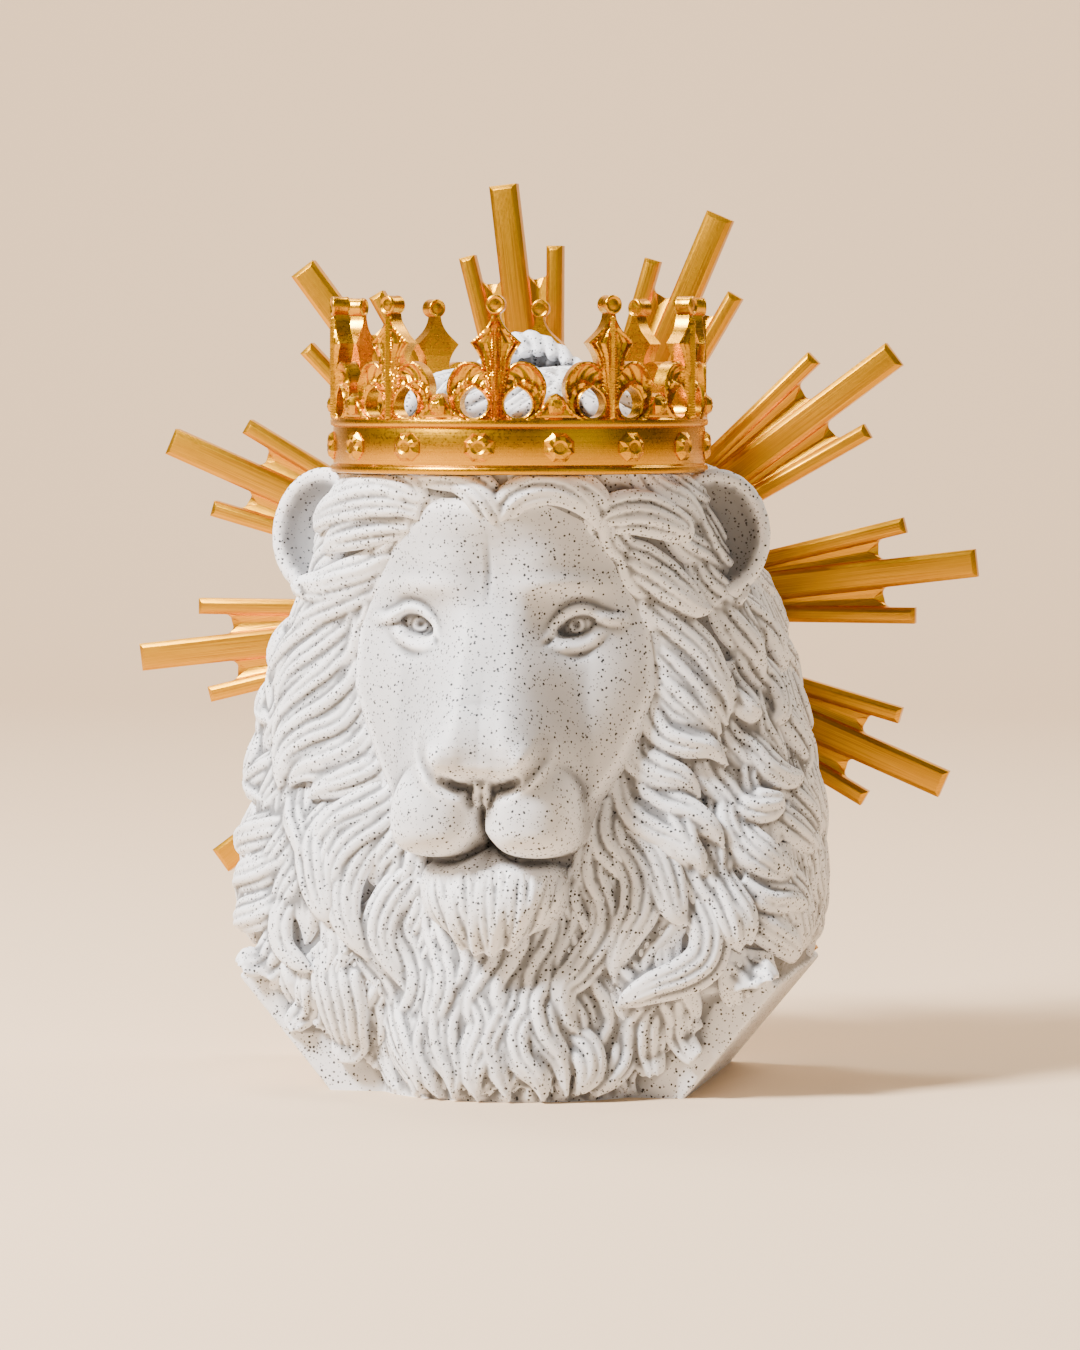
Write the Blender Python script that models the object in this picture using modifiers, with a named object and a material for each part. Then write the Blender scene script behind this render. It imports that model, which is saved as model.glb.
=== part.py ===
"""A lion's head wearing a crown, with a sunburst behind it.

Three separate pieces: the printed head, the crown that rests on it, and the ring of rays against
its flat back. The origin is the middle of the head's underside, X to the viewer's right, +Y to the
back, +Z up.
"""
import math
import random

import bmesh
import bpy
import numpy as np
from mathutils import Matrix, Vector
from mathutils.bvhtree import BVHTree
from mathutils.geometry import delaunay_2d_cdt

MM = 0.001

BACK_Y = 58 * MM
BASE_FRONT_Y = -26 * MM
BASE_HALF_WIDTH = 50 * MM
CHAMFER_TOP = (76 * MM, 31.5 * MM)
GAP = 0.3 * MM

# Levels of the mane under its hair, in millimetres: height, half width, front, back, and how square
MANE_LEVELS = (
    (-6, 34, -22, 66, 4.0),
    (10, 48, -27, 66, 4.0),
    (20, 62, -31, 66, 4.0),
    (30, 74.5, -34, 66, 4.0),
    (48, 78, -35, 66, 3.6),
    (66, 79, -34, 66, 3.0),
    (84, 77, -30, 66, 2.6),
    (104, 73, -29, 66, 2.4),
    (124, 68, -31, 66, 2.3),
    (144, 61, -36, 66, 2.3),
    (158, 56, -43, 63, 2.3),
    (166, 53, -48, 58, 2.2),
    (171, 49, -51, 50, 2.1),
)
MANE_MIDDLE_Y = 14
# Further masses, in millimetres: centre and radii
MASSES = (
    ((0, -14, 10), (38, 29, 80)),
    ((0, -5, 168), (46, 47, 31)),
)

# Locks on the front and the sides: width and lift in millimetres, then places as the angle in
# degrees round the mane's middle, 0 in front, and the height in millimetres
TRACED_LOCKS = (
    (9.5, 7.0, (-17.2, 163.6), (-23.7, 166.1), (-33.3, 165.9), (-46.4, 162.5), (-60.5, 157.8),
     (-64.9, 153.9)),
    (6.7, 6.0, (-21.7, 157.6), (-30.3, 157.9), (-41.5, 155.5), (-50.6, 152.8), (-58.2, 149.2)),
    (8.4, 7.0, (-29.2, 151.2), (-38.2, 146.7), (-47, 143.4), (-56.5, 140), (-64.8, 138.6), (-61.2, 134.2)),
    (7.3, 5.0, (-40.9, 138.4), (-50.3, 134.1), (-60.3, 128.7), (-70.1, 121.9), (-78.1, 114.4),
     (-77, 107.8), (-75, 101.2)),
    (8.4, 6.0, (-46.3, 130), (-49.8, 123.8), (-54.2, 117.8), (-59.4, 112.9), (-65, 107.3), (-69, 100.8),
     (-69.7, 94)),
    (9.0, 6.5, (-45.8, 115.6), (-47.3, 108.9), (-51.6, 102.2), (-57.8, 98.4), (-62.6, 93.8),
     (-64.3, 87.8), (-63.8, 82.4)),
    (8.4, 6.0, (-44.3, 106.4), (-44, 99.3), (-47.4, 94.2), (-53, 90.9), (-58.7, 88.4), (-62.3, 83.7)),
    (8.4, 6.0, (-39.7, 96.2), (-41.7, 91.2), (-46.8, 87.6), (-52.2, 84.4), (-56.2, 80.5)),
    (5.6, 5.0, (-69.1, 142), (-71.1, 142.6), (-73, 141.9), (-71.3, 139.6)),
    (7.8, 6.0, (-66.7, 132.1), (-81, 127.3), (-80.6, 122.1), (-81.1, 117.2), (-82.5, 113.5)),
    (7.8, 6.0, (-70.4, 117.5), (-81.8, 111.7), (-81.4, 107.1), (-81.8, 102.6), (-72.4, 100.9)),
    (7.3, 6.0, (-72, 104), (-81.5, 97.6), (-80.5, 91.1), (-81.5, 85.2), (-80.5, 81.2)),
    (9.5, 7.0, (-42.8, 82.6), (-49.3, 76.8), (-51.1, 69.7), (-49.5, 63.2), (-48.2, 56.9), (-46.3, 50.6),
     (-45.3, 47)),
    (9.0, 6.5, (-34.1, 77.3), (-39.9, 68.6), (-42.8, 59.7), (-42.5, 51.7), (-40.2, 44.3), (-37.1, 37.8)),
    (8.4, 6.0, (-24.7, 63.7), (-30.1, 58.7), (-33.9, 50.6), (-34.3, 42.8), (-30.6, 35.4), (-24.5, 27.7)),
    (5.6, 6.0, (-62.7, 83.2), (-58.9, 75.9), (-54.3, 68.9), (-52.3, 62.3)),
    (5.6, 6.0, (-52.7, 59.9), (-55.2, 53), (-56, 47), (-55.1, 40.7), (-51.6, 36.1), (-48.9, 34.3)),
    (5.0, 5.0, (-56.7, 38), (-59, 31.9), (-58, 26.1), (-56.2, 22.1)),
    (6.2, 5.5, (-52.1, 34.4), (-51.7, 29.2), (-55.4, 20.5), (-54.5, 14.7), (-53.1, 13.1)),
    (11.8, 7.0, (-44.5, 41.6), (-45.1, 34.2), (-44.3, 28.5), (-45.1, 21.1), (-47.1, 12.7), (-46.8, 6.9)),
    (9.0, 6.0, (-34.8, 31.5), (-29.7, 23.6), (-25, 16.5), (-21.4, 9.6), (-20.1, 1.6)),
    (8.4, 5.5, (-14, 37.9), (-11.2, 31), (-14.2, 22.9), (-13.3, 14.9), (-10.6, 7.9), (-10.7, 0.7)),
    (8.4, 5.0, (-59.2, 74.4), (-64.8, 71.5), (-77.4, 67.1), (-76.3, 63.3)),
    (8.4, 5.0, (-58, 66.7), (-63.5, 60.5), (-74.5, 56.2), (-73.4, 51.2)),
    (8.4, 5.0, (-57.3, 54.5), (-61.7, 49.2), (-72.9, 46.1), (-72.2, 44.1)),
    (7.3, 5.0, (-57.5, 45.2), (-60.5, 36), (-61, 34.3)),
    (9.5, 7.0, (27, 156.8), (30.7, 161.2), (38.1, 161.8), (45.1, 159.4), (51.9, 155.9), (50.5, 153)),
    (8.4, 7.0, (33.4, 148.7), (38.8, 149.4), (45.2, 145.6), (51.5, 140.1), (56.8, 135.6), (61.4, 134.1)),
    (9.0, 6.0, (40.2, 140.9), (45.5, 134.9), (51.9, 129.1), (57.3, 123.3), (60.7, 116.4), (63.8, 109.7),
     (63.6, 103.8)),
    (7.3, 6.0, (45.5, 130.8), (49.1, 123.9), (53.2, 118.1), (57.1, 113), (60.4, 107.4), (63.5, 102.1)),
    (7.3, 6.5, (47.7, 113.9), (47.1, 107.4), (49.4, 101), (53.8, 97.9), (58.6, 96.1), (62, 91)),
    (7.8, 6.0, (42.5, 100.3), (42.9, 93.8), (46.8, 89.6), (51.7, 87.1), (55.3, 82.3)),
    (9.0, 6.0, (30, 76.7), (36.7, 69.8), (40.2, 62.1), (39.8, 53.2), (36.9, 46.5), (34.7, 39.2),
     (34.2, 32.9)),
    (9.0, 6.0, (25.1, 64.4), (30.5, 58.1), (32.5, 50.9), (30.3, 43.2), (23.8, 36), (18.9, 31.3),
     (19.9, 23.4), (24.5, 16.9)),
    (9.5, 6.5, (41.3, 84.2), (46.3, 77.3), (48.8, 70), (49.8, 63.8)),
    (8.4, 6.5, (38.2, 75.8), (43.1, 68.7), (45.1, 60.4), (46.4, 52.4), (48.9, 48.3)),
    (9.5, 7.5, (49.8, 61), (51.7, 53.8), (52.8, 46.6), (51.8, 39.4), (47.8, 35), (42.5, 32.3),
     (37.8, 29.6), (35.2, 27.1)),
    (8.4, 6.0, (55.4, 64.1), (57.1, 56), (59.1, 49.6), (60.2, 43)),
    (7.3, 6.0, (63.1, 85.3), (65.1, 80.4), (69.5, 79.7), (73.4, 82.7)),
    (9.0, 5.0, (60.6, 77.9), (62.5, 69.8), (66.5, 64.4), (72.8, 60)),
    (7.8, 5.0, (60.5, 60.7), (64.9, 55.6), (71.4, 54.4), (79.4, 50.4)),
    (8.4, 5.5, (60.6, 51), (64.8, 46.6), (71.7, 41), (74.6, 36.5)),
    (6.7, 5.5, (57.7, 41.4), (60.4, 35.7), (61.8, 32.5), (69.3, 31.7)),
    (6.7, 5.5, (54.5, 40.7), (58.5, 33.9), (58.5, 27.4), (56.4, 23.2)),
    (6.2, 6.0, (47.6, 29.5), (49, 23), (52.4, 14.4), (54.5, 13.7)),
    (8.4, 6.5, (44.3, 29.2), (43.1, 22.1), (45, 12.2), (45.9, 5.6)),
    (7.8, 6.0, (35.9, 27.2), (38.8, 20.8), (35.5, 11.4), (31.1, 6.2), (27.7, 1.6)),
    (7.8, 5.5, (18.4, 18.7), (23.9, 15.3), (25.5, 8.9), (22.3, 1.8)),
    (9.0, 5.5, (10, 36.2), (10.9, 28.3), (7, 20.4), (7.8, 13.2), (12.3, 6.9), (13.8, 0.4)),
    (7.3, 4.5, (2.1, 156), (3.5, 161.2), (6.9, 166), (12.5, 167.9), (18.8, 166.6), (24.2, 162.5),
     (28, 156.6)),
    (5.6, 4.0, (5, 170.1), (9.6, 170.9), (17.2, 170.8), (23.7, 169), (28.1, 165.1), (29.7, 160.2)),
    (6.2, 4.5, (2, 156), (1, 161), (-1.4, 165.8), (-4.9, 168.5), (-10.7, 169.2)),
    (6.2, 4.0, (1.9, 165.2), (-1, 168.8), (-5.9, 170.8), (-12.6, 170.9), (-18.2, 169.9)),
    (6.7, 5.0, (-17.3, 164), (-20.3, 168.4), (-28.7, 169.8), (-42.4, 169.2), (-61.9, 167.6)),
    (7.3, 5.5, (-32.9, 146.1), (-42.2, 140.9), (-50.6, 137.1), (-58.5, 133.6), (-65.8, 129.7),
     (-73, 125.6)),
    (7.8, 5.5, (-43.6, 134.4), (-51.5, 127.4), (-59.2, 120.8), (-65.8, 115.4), (-69.8, 109.3),
     (-70.6, 102.9)),
    (7.8, 6.0, (-46.9, 123.3), (-48.5, 115), (-53.2, 109), (-59.5, 103.5), (-64.6, 98.1), (-66.2, 92.3),
     (-65.8, 85.6)),
    (6.7, 5.0, (-66.6, 92.4), (-72.9, 87.9), (-78.4, 82.6), (-67.6, 78.6)),
    (7.3, 4.5, (-81.7, 110.8), (-82.5, 104.5), (-81.5, 99.1), (-81.3, 93.7)),
    (7.3, 4.5, (-81.5, 95.5), (-80.3, 89.5), (-81.1, 83.2), (-79.4, 78.1)),
    (7.8, 6.0, (-35.9, 91), (-37, 84), (-41.4, 79.3), (-46.6, 75.3), (-49.5, 70.5), (-49.9, 65.2)),
    (7.8, 6.0, (-33.7, 84.6), (-37.6, 77.6), (-42.3, 72.3), (-45.4, 66.5), (-46.2, 59.3), (-45.3, 52.9)),
    (7.3, 5.0, (-23, 29.6), (-19.3, 22.6), (-20.1, 15.2), (-18, 8.1), (-15.1, 0.5)),
    (8.4, 5.5, (-8.7, 36.7), (-4.7, 28.8), (-1.8, 21.6), (-4.5, 13.4), (-5.3, 7), (-3.6, 0.2)),
    (8.4, 5.5, (2.3, 38.8), (4.7, 30.8), (2.6, 23.5), (-0.1, 16.3), (1.7, 9), (4.8, 0.4)),
    (7.3, 5.0, (-22.2, 42.6), (-15.7, 36.4), (-14.4, 30.1), (-16.2, 22.8), (-14, 15.6)),
    (7.8, 5.5, (16.9, 42.3), (14.8, 33.4), (12, 27.2), (13.7, 19.1), (18.1, 11.7), (19.8, 1.7)),
    (7.3, 5.5, (54, 64.4), (55.9, 55.2), (57, 47.3), (58, 41.2)),
    (7.8, 6.0, (43.1, 94.1), (43.4, 86.1), (47.3, 80.5), (52.3, 77.5), (55.5, 73.7), (57.3, 68.3)),
    (7.8, 6.0, (39.1, 88.6), (40.5, 80.5), (44.3, 75.3), (48.6, 71.7), (51.7, 66.5), (52.5, 61.7)),
    (7.8, 6.0, (47.4, 123.6), (50.4, 115.8), (54.2, 110), (58, 104.1), (61.3, 98.1)),
    (6.7, 5.5, (47.3, 117.8), (48.2, 110.3), (52.1, 104.8), (57.1, 101.2), (62.1, 95.3)),
    (7.3, 5.0, (65.4, 137.8), (70.9, 128.4), (73.8, 121.7), (75.1, 114.1)),
    (7.3, 5.0, (73.8, 121.7), (79, 113.8), (78.9, 106.3), (75, 101.9)),
    (7.3, 5.0, (65.4, 101.7), (68.8, 95.8), (71.6, 90), (76.8, 86.8), (84.8, 87.5)),
    (7.3, 4.5, (78.8, 109.1), (84, 100.4), (88, 92.5), (85.8, 87)),
    (6.7, 5.5, (63.3, 116), (66.9, 110.1), (69.3, 106.1), (71.8, 104.5)),
    (7.3, 4.5, (69.3, 140.3), (81.8, 130.4), (85.7, 122.8), (89.2, 115.1)),
    (7.3, 4.5, (69.9, 80.6), (73.9, 74.5), (80, 69.3), (95.2, 62.5)),
    (7.3, 4.5, (77.1, 85.9), (81.4, 80.1), (87.8, 73.8), (92.1, 68.6)),
    (7.3, 4.0, (-74.2, 153.9), (-73.1, 148.7), (-71.8, 143.9), (-69.5, 141.2)),
)
# Strands of the tuft on the chin
CHIN_STRANDS = 11

# The face's edge, in millimetres: height and half width
FACE_EDGE = (
    (44, 12), (52, 19), (60, 22), (69, 25), (83, 33), (94, 39.5), (113, 43.5),
    (132, 41.5), (148, 34), (157, 28), (164, 26),
)

# Crown, in millimetres
CROWN_CENTRE_Y = -6
CROWN_BOTTOM = 172.0
CROWN_INNER = 48.0
CROWN_OUTER = 51.8
CROWN_RIM = 0.8
CROWN_BAND = 15.0
FINIALS = 10
FINIAL_TURN = 4.0
BAND_GEMS = 15
BAND_GEM_TURN = -1.0
SEAT_Z = 171.7
# Half of a finial's outline: across, and up from the band's top
FINIAL_OUTLINE = (
    (0, 33.6), (2.3, 32.3), (2.3, 29.6), (1.1, 28.4), (3.0, 24.4), (7.1, 20.6), (4.4, 16.8),
    (3.7, 14.2), (7.2, 15.5), (11.6, 13.6), (13.7, 9.4), (13.3, 6.0),
)
HOLE_OUTLINE = ((5.9, 8.8), (2.7, 5.6), (2.6, 2.6), (4.4, 0.8), (7.2, 0.8), (9.2, 2.6), (9.3, 5.4))
VALLEY_TOP = 6.9

# Sunburst, in millimetres
SUN_CENTRE_X = -3.0
SUN_CENTRE_Z = 130.3
SUN_TURN = -6.8
CLUSTERS = 12
SUN_THICK = 5.6
MAIN_RAY = (4.0, 124.5)
SIDE_RAY = (2.3, 106.0)
SIDE_ANGLE = 7.1
WEB_END = 96.3
WEB_RECESS = 1.8
HUB_RADIUS = 40.0

UNDER_VOXEL = 2.0 * MM
HEAD_VOXEL = 1.1 * MM
HEAD_TRIANGLES = 6000


def clear_scene():
    for obj in list(bpy.data.objects):
        bpy.data.objects.remove(obj)


def link(name, mesh, collection, material=None):
    obj = bpy.data.objects.new(name, mesh)
    collection.objects.link(obj)
    if material:
        mesh.materials.append(material)
    return obj


def evaluated_mesh(obj):
    graph = bpy.context.evaluated_depsgraph_get()
    return bpy.data.meshes.new_from_object(obj.evaluated_get(graph))


def remove(obj):
    bpy.data.objects.remove(obj)


# The face, as a relief: how far it stands in front of the head's middle, in millimetres

def smooth_step(low, high, value):
    t = np.clip((value - low) / (high - low), 0, 1)
    return t * t * (3 - 2 * t)


def smooth_max(a, b, soft):
    return (a + b + np.sqrt((a - b) ** 2 + soft * soft)) / 2


def boss(x, z, centre, radii, depth, rise, power, square=2.0):
    """A rounded block standing out of the face."""
    r = (np.abs((x - centre[0]) / radii[0]) ** square + np.abs((z - centre[1]) / radii[1]) ** square) ** (1 / square)
    inside = np.clip(1 - r ** power, 0, 1) ** (1 / power)
    return depth + rise * inside - 3 * rise * np.clip(r - 1, 0, None)


def swell(x, z, centre, radii, height):
    r2 = ((x - centre[0]) / radii[0]) ** 2 + ((z - centre[1]) / radii[1]) ** 2
    return height * np.exp(-r2)


def smooth_line(points, steps=6):
    """A smooth curve through the points."""
    p = np.array(points, float)
    p = np.vstack([2 * p[0] - p[1], p, 2 * p[-1] - p[-2]])
    out = []
    for a, b, c, d in zip(p[:-3], p[1:-2], p[2:-1], p[3:]):
        for t in np.arange(steps) / steps:
            cubic = 3 * b - a - 3 * c + d
            square = 2 * a - 5 * b + 4 * c - d
            out.append(0.5 * (2 * b + (c - a) * t + square * t ** 2 + cubic * t ** 3))
    out.append(p[-2])
    return np.array(out)


def stroke(x, z, points, width, height, taper=0.25, start=0.2):
    """A ridge or a groove along a curve, thinner at its ends."""
    line = smooth_line(points)
    nearest = np.full(x.shape, 1e9)
    where = np.zeros(x.shape)
    lengths = np.linalg.norm(np.diff(line, axis=0), axis=1)
    done = 0.0
    for (ax, az), (bx, bz), length in zip(line[:-1], line[1:], lengths):
        t = np.clip(((x - ax) * (bx - ax) + (z - az) * (bz - az)) / length ** 2, 0, 1)
        distance = np.hypot(x - ax - t * (bx - ax), z - az - t * (bz - az))
        closer = distance < nearest
        nearest = np.where(closer, distance, nearest)
        where = np.where(closer, (done + t * length) / lengths.sum(), where)
        done += length
    ends = np.clip(start + where / taper, 0, 1) * np.clip(start + (1 - where) / taper, 0, 1)
    return height * ends * np.clip(1 - (nearest / width) ** 2, 0, 1) ** 1.5


def face_depth(x, z):
    ax = np.abs(x)
    d = 12 + 31 * np.sqrt(np.clip(1 - (ax / 48) ** 2 - ((z - 114) / 66) ** 2, 0.0, 1))
    d += swell(ax, z, (0, 168), (48, 20), 22)
    # Cheekbones
    d += swell(ax, z, (30, 108), (13, 22), 3.5)
    # Forehead
    d += swell(ax, z, (13, 147), (11, 8), 3.4)
    # Brows
    d += swell(ax, z, (20, 141.5), (11, 3.6), 2.4)
    # Bridge of the nose, broad and flat
    rise = np.interp(z, [82, 90, 98, 110, 122, 132, 141, 150], [12, 17, 18, 15.5, 12.5, 9, 4, 0])
    half = np.interp(z, [88, 98, 110, 122, 134, 148], [12.5, 12.5, 12.6, 12.8, 12.5, 16])
    d += rise * (1 - smooth_step(0.5, 1.62, ax / half))
    # Eye sockets
    d -= swell(ax, z, (19.5, 130.5), (8, 7), 5.0)
    # Muzzle, its two lobes and the chin
    d = smooth_max(d, boss(ax, z, (0, 92), (24.5, 19), 39, 18.0, 2.6), 7)
    d = smooth_max(d, boss(ax, z, (13.3, 80.6), (12.8, 13.0), 41.5, 18.4, 2.8, 2.9), 3.0)
    d = smooth_max(d, boss(ax, z, (0, 57.5), (20.5, 12.5), 35, 17, 2.4, 2.5), 2.5)
    # Nose, nostrils and the groove below it
    nose_half = 15.0 - 0.55 * np.clip(97 - z, 0, 12)
    d = smooth_max(d, boss(ax / nose_half, z, (0, 96.6), (1, 6.6), 51.5, 13.0, 3.0, 3.4), 2.0)
    d -= stroke(ax, z, [(3.7, 87.6), (6.4, 87.8), (9.6, 89.5)], 2.4, 5.5, 0.45, 0.5)
    d -= stroke(ax, z, [(8.6, 89.0), (12.4, 91.8), (15.4, 95.2)], 2.6, 1.6, 0.4, 0.2)
    d += stroke(ax, z, [(0, 91), (0, 86), (0, 81.5)], 3.2, 3.2, 0.3, 0.5)
    d -= stroke(ax, z, [(3.5, 88), (3.4, 84.6), (1.8, 81.2)], 1.5, 2.4)
    d -= stroke(ax, z, [(0, 80.5), (0, 76), (0, 72)], 1.6, 6.0, 0.2, 0.5)
    # Mouth
    d -= swell(ax, z, (0, 69.8), (4.2, 3.4), 6.0)
    lip = [(0, 74), (2.2, 71), (6, 67.9), (12, 66.2), (19, 66.4), (26, 69.2)]
    d -= stroke(ax, z, lip, 2.3, 6.5, 0.12, 0.5)
    # Eyelids, and the creases above and beside them
    upper = [(16.4, 128.4), (17.8, 131.4), (20.6, 134.0), (24.2, 134.9), (27.6, 133.9), (31, 133.0), (36, 133.4)]
    lower = [(16.8, 127.2), (19.2, 125.8), (22.6, 125.7), (26.2, 127.2), (29.4, 130.4)]
    d += stroke(ax, z, upper, 2.5, 3.4, 0.25, 0.35)
    d += stroke(ax, z, lower, 2.3, 2.6, 0.25, 0.3)
    d -= stroke(ax, z, [(15.0, 132.6), (17.8, 136.8), (23.4, 138.6), (30, 136.9)], 1.8, 1.7)
    d -= stroke(ax, z, [(18.4, 123.6), (23.6, 122.8), (29.0, 125.4)], 1.8, 1.0)
    d -= stroke(ax, z, [(17.0, 128.2), (15.4, 126.6), (14.0, 124.8)], 1.3, 1.8)
    # Eyeball with its iris and pupil
    across = np.clip(1 - ((ax - 22) / 5.1) ** 2, 0, 1) ** 0.62
    tilted = z - 0.28 * (ax - 22)
    opening = smooth_step(-0.3, 0.3, np.minimum(130.4 + 2.9 * across - tilted, tilted - 130.4 + 2.7 * across))
    opening = opening * (np.abs(ax - 22) < 5.1)
    from_iris = np.hypot(ax - 21.8, z - 130.7)
    ball = 28.9 + np.sqrt(np.clip(8.5 ** 2 - from_iris ** 2, 0, None))
    ball -= 0.55 * np.exp(-((from_iris - 2.4) / 0.38) ** 2)
    ball -= 1.1 * np.exp(-(from_iris / 0.85) ** 2)
    d = d * (1 - opening) + ball * opening
    # Crease of the forehead
    d -= stroke(x, z, [(-0.6, 154), (-0.3, 147), (-0.8, 136)], 1.7, 0.6, 0.3, 0.1)
    heights, halves = np.array(FACE_EDGE).T
    return d - 14 * smooth_step(-1.5, 5, ax - np.interp(z, heights, halves))


def add_face(bm, step):
    """The relief as a closed block."""
    xs = np.arange(-48, 48.01, step)
    zs = np.arange(42, 166.01, step)
    x, z = np.meshgrid(xs, zs)
    front = np.stack([x, -face_depth(x, z), z], -1)
    back = np.stack([x, np.full(x.shape, -4.0), z], -1)
    rows, columns = x.shape
    index = np.arange(rows * columns).reshape(rows, columns)
    verts = [bm.verts.new(v * MM) for v in front.reshape(-1, 3)]
    hidden = [bm.verts.new(v * MM) for v in back.reshape(-1, 3)]
    for r in range(rows - 1):
        for c in range(columns - 1):
            ids = (index[r, c], index[r, c + 1], index[r + 1, c + 1], index[r + 1, c])
            bm.faces.new([verts[i] for i in ids])
            bm.faces.new([hidden[i] for i in reversed(ids)])
    edge = list(index[0, :-1]) + list(index[:-1, -1]) + list(index[-1, :0:-1]) + list(index[:0:-1, 0])
    for a, b in zip(edge, edge[1:] + edge[:1]):
        bm.faces.new((verts[b], verts[a], hidden[a], hidden[b]))


def add_ellipsoid(bm, centre, radii):
    matrix = Matrix.Translation(Vector(centre) * MM) @ Matrix.Diagonal((*(Vector(radii) * MM), 1))
    bmesh.ops.create_icosphere(bm, subdivisions=4, radius=1, matrix=matrix)


def add_prism(bm, outline, front_y, back_y):
    front = [bm.verts.new((x, front_y, z)) for x, z in outline]
    back = [bm.verts.new((x, back_y, z)) for x, z in outline]
    bm.faces.new(front)
    bm.faces.new(reversed(back))
    for i in range(len(front)):
        j = (i + 1) % len(front)
        bm.faces.new((front[j], front[i], back[i], back[j]))


def add_loft(bm):
    """The mane's levels joined into a block."""
    count = 48
    rings = []
    for z, half, front, back, square in MANE_LEVELS:
        ring = []
        for i in range(count):
            angle = 2 * math.pi * i / count
            s = math.copysign(abs(math.sin(angle)) ** (2 / square), math.sin(angle))
            c = math.copysign(abs(math.cos(angle)) ** (2 / square), math.cos(angle))
            reach = MANE_MIDDLE_Y - front if c > 0 else back - MANE_MIDDLE_Y
            if c <= 0:
                s = math.copysign(abs(math.sin(angle)) ** 0.3, math.sin(angle))
            ring.append(bm.verts.new(Vector((half * s, MANE_MIDDLE_Y - reach * c, z)) * MM))
        rings.append(ring)
    for low, high in zip(rings, rings[1:]):
        for i in range(count):
            j = (i + 1) % count
            bm.faces.new((low[i], low[j], high[j], high[i]))
    bm.faces.new(reversed(rings[0]))
    bm.faces.new(rings[-1])


def remeshed(obj, voxel, smooth):
    remesh = obj.modifiers.new("one_skin", "REMESH")
    remesh.mode = "VOXEL"
    remesh.voxel_size = voxel
    soft = obj.modifiers.new("soft", "SMOOTH")
    soft.factor = 0.5
    soft.iterations = smooth
    mesh = evaluated_mesh(obj)
    remove(obj)
    return mesh


def under_form(collection):
    """The head without its face and hair."""
    bm = bmesh.new()
    add_loft(bm)
    for centre, radii in MASSES:
        add_ellipsoid(bm, centre, radii)
    mesh = bpy.data.meshes.new("under_form")
    bm.to_mesh(mesh)
    bm.free()
    return remeshed(link("under_form", mesh, collection), UNDER_VOXEL, 8)


# Hair

class Skin:
    """The surface that the hair lies on."""

    def __init__(self, bm):
        self.tree = BVHTree.FromBMesh(bm)

    def from_front(self, x, z):
        place, normal, _, _ = self.tree.ray_cast(Vector((x, -400, z)) * MM, Vector((0, 1, 0)))
        return place, normal

    def around(self, angle, z):
        """The place at an angle in degrees round the mane's middle."""
        turn = math.radians(angle)
        outward = Vector((math.sin(turn), -math.cos(turn), 0))
        middle = Vector((0, MANE_MIDDLE_Y, z)) * MM
        place, normal, _, _ = self.tree.ray_cast(middle + outward * 0.3, -outward)
        return place, normal

    def nearest(self, point):
        place, normal, _, _ = self.tree.find_nearest(point)
        return place, normal


def walk(skin, place, normal, length, pull, wave=0.0, phase=0.0, curl=0.0, side=1):
    """A lock's middle line: back over the skin and down, in a wave."""
    step = 2.0 * MM
    count = max(int(length / 2.0), 6)
    line = [(place, normal)]
    for i in range(count):
        t = i / count
        outward = Vector((place.x, 45 * MM, (place.z - 100 * MM) * 0.6))
        outward -= normal * outward.dot(normal)
        heading = outward.normalized() + Vector((0, 0, -pull))
        heading -= normal * heading.dot(normal)
        heading.normalize()
        turn = wave * math.sin(2 * math.pi * (t * 1.15 + phase)) + curl * max(t - 0.6, 0) / 0.4
        heading.rotate(Matrix.Rotation(-side * turn, 3, normal))
        place, normal = skin.nearest(place + heading * step)
        line.append((place, normal))
    return line


def traced(skin, points):
    """A lock's middle line from its angles and heights."""
    line = []
    for angle, z in smooth_line(points, 6):
        place, normal = skin.around(angle, z)
        if place:
            line.append((place, normal))
    return line


def tube(verts, faces, points, sides, widths, heights, normals, ring=8):
    """A closed tube through the points; the ends are drawn together."""
    first = len(verts)
    count = len(points)
    for i in range(count):
        for k in range(ring):
            angle = 2 * math.pi * k / ring
            offset = sides[i] * (math.cos(angle) * widths[i]) + normals[i] * (math.sin(angle) * heights[i])
            verts.append(points[i] + offset)
    for i in range(count - 1):
        for k in range(ring):
            a = first + i * ring + k
            b = first + i * ring + (k + 1) % ring
            faces.append((a, b, b + ring, a + ring))
    faces.append([first + k for k in reversed(range(ring))])
    faces.append([first + (count - 1) * ring + k for k in range(ring)])


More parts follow.
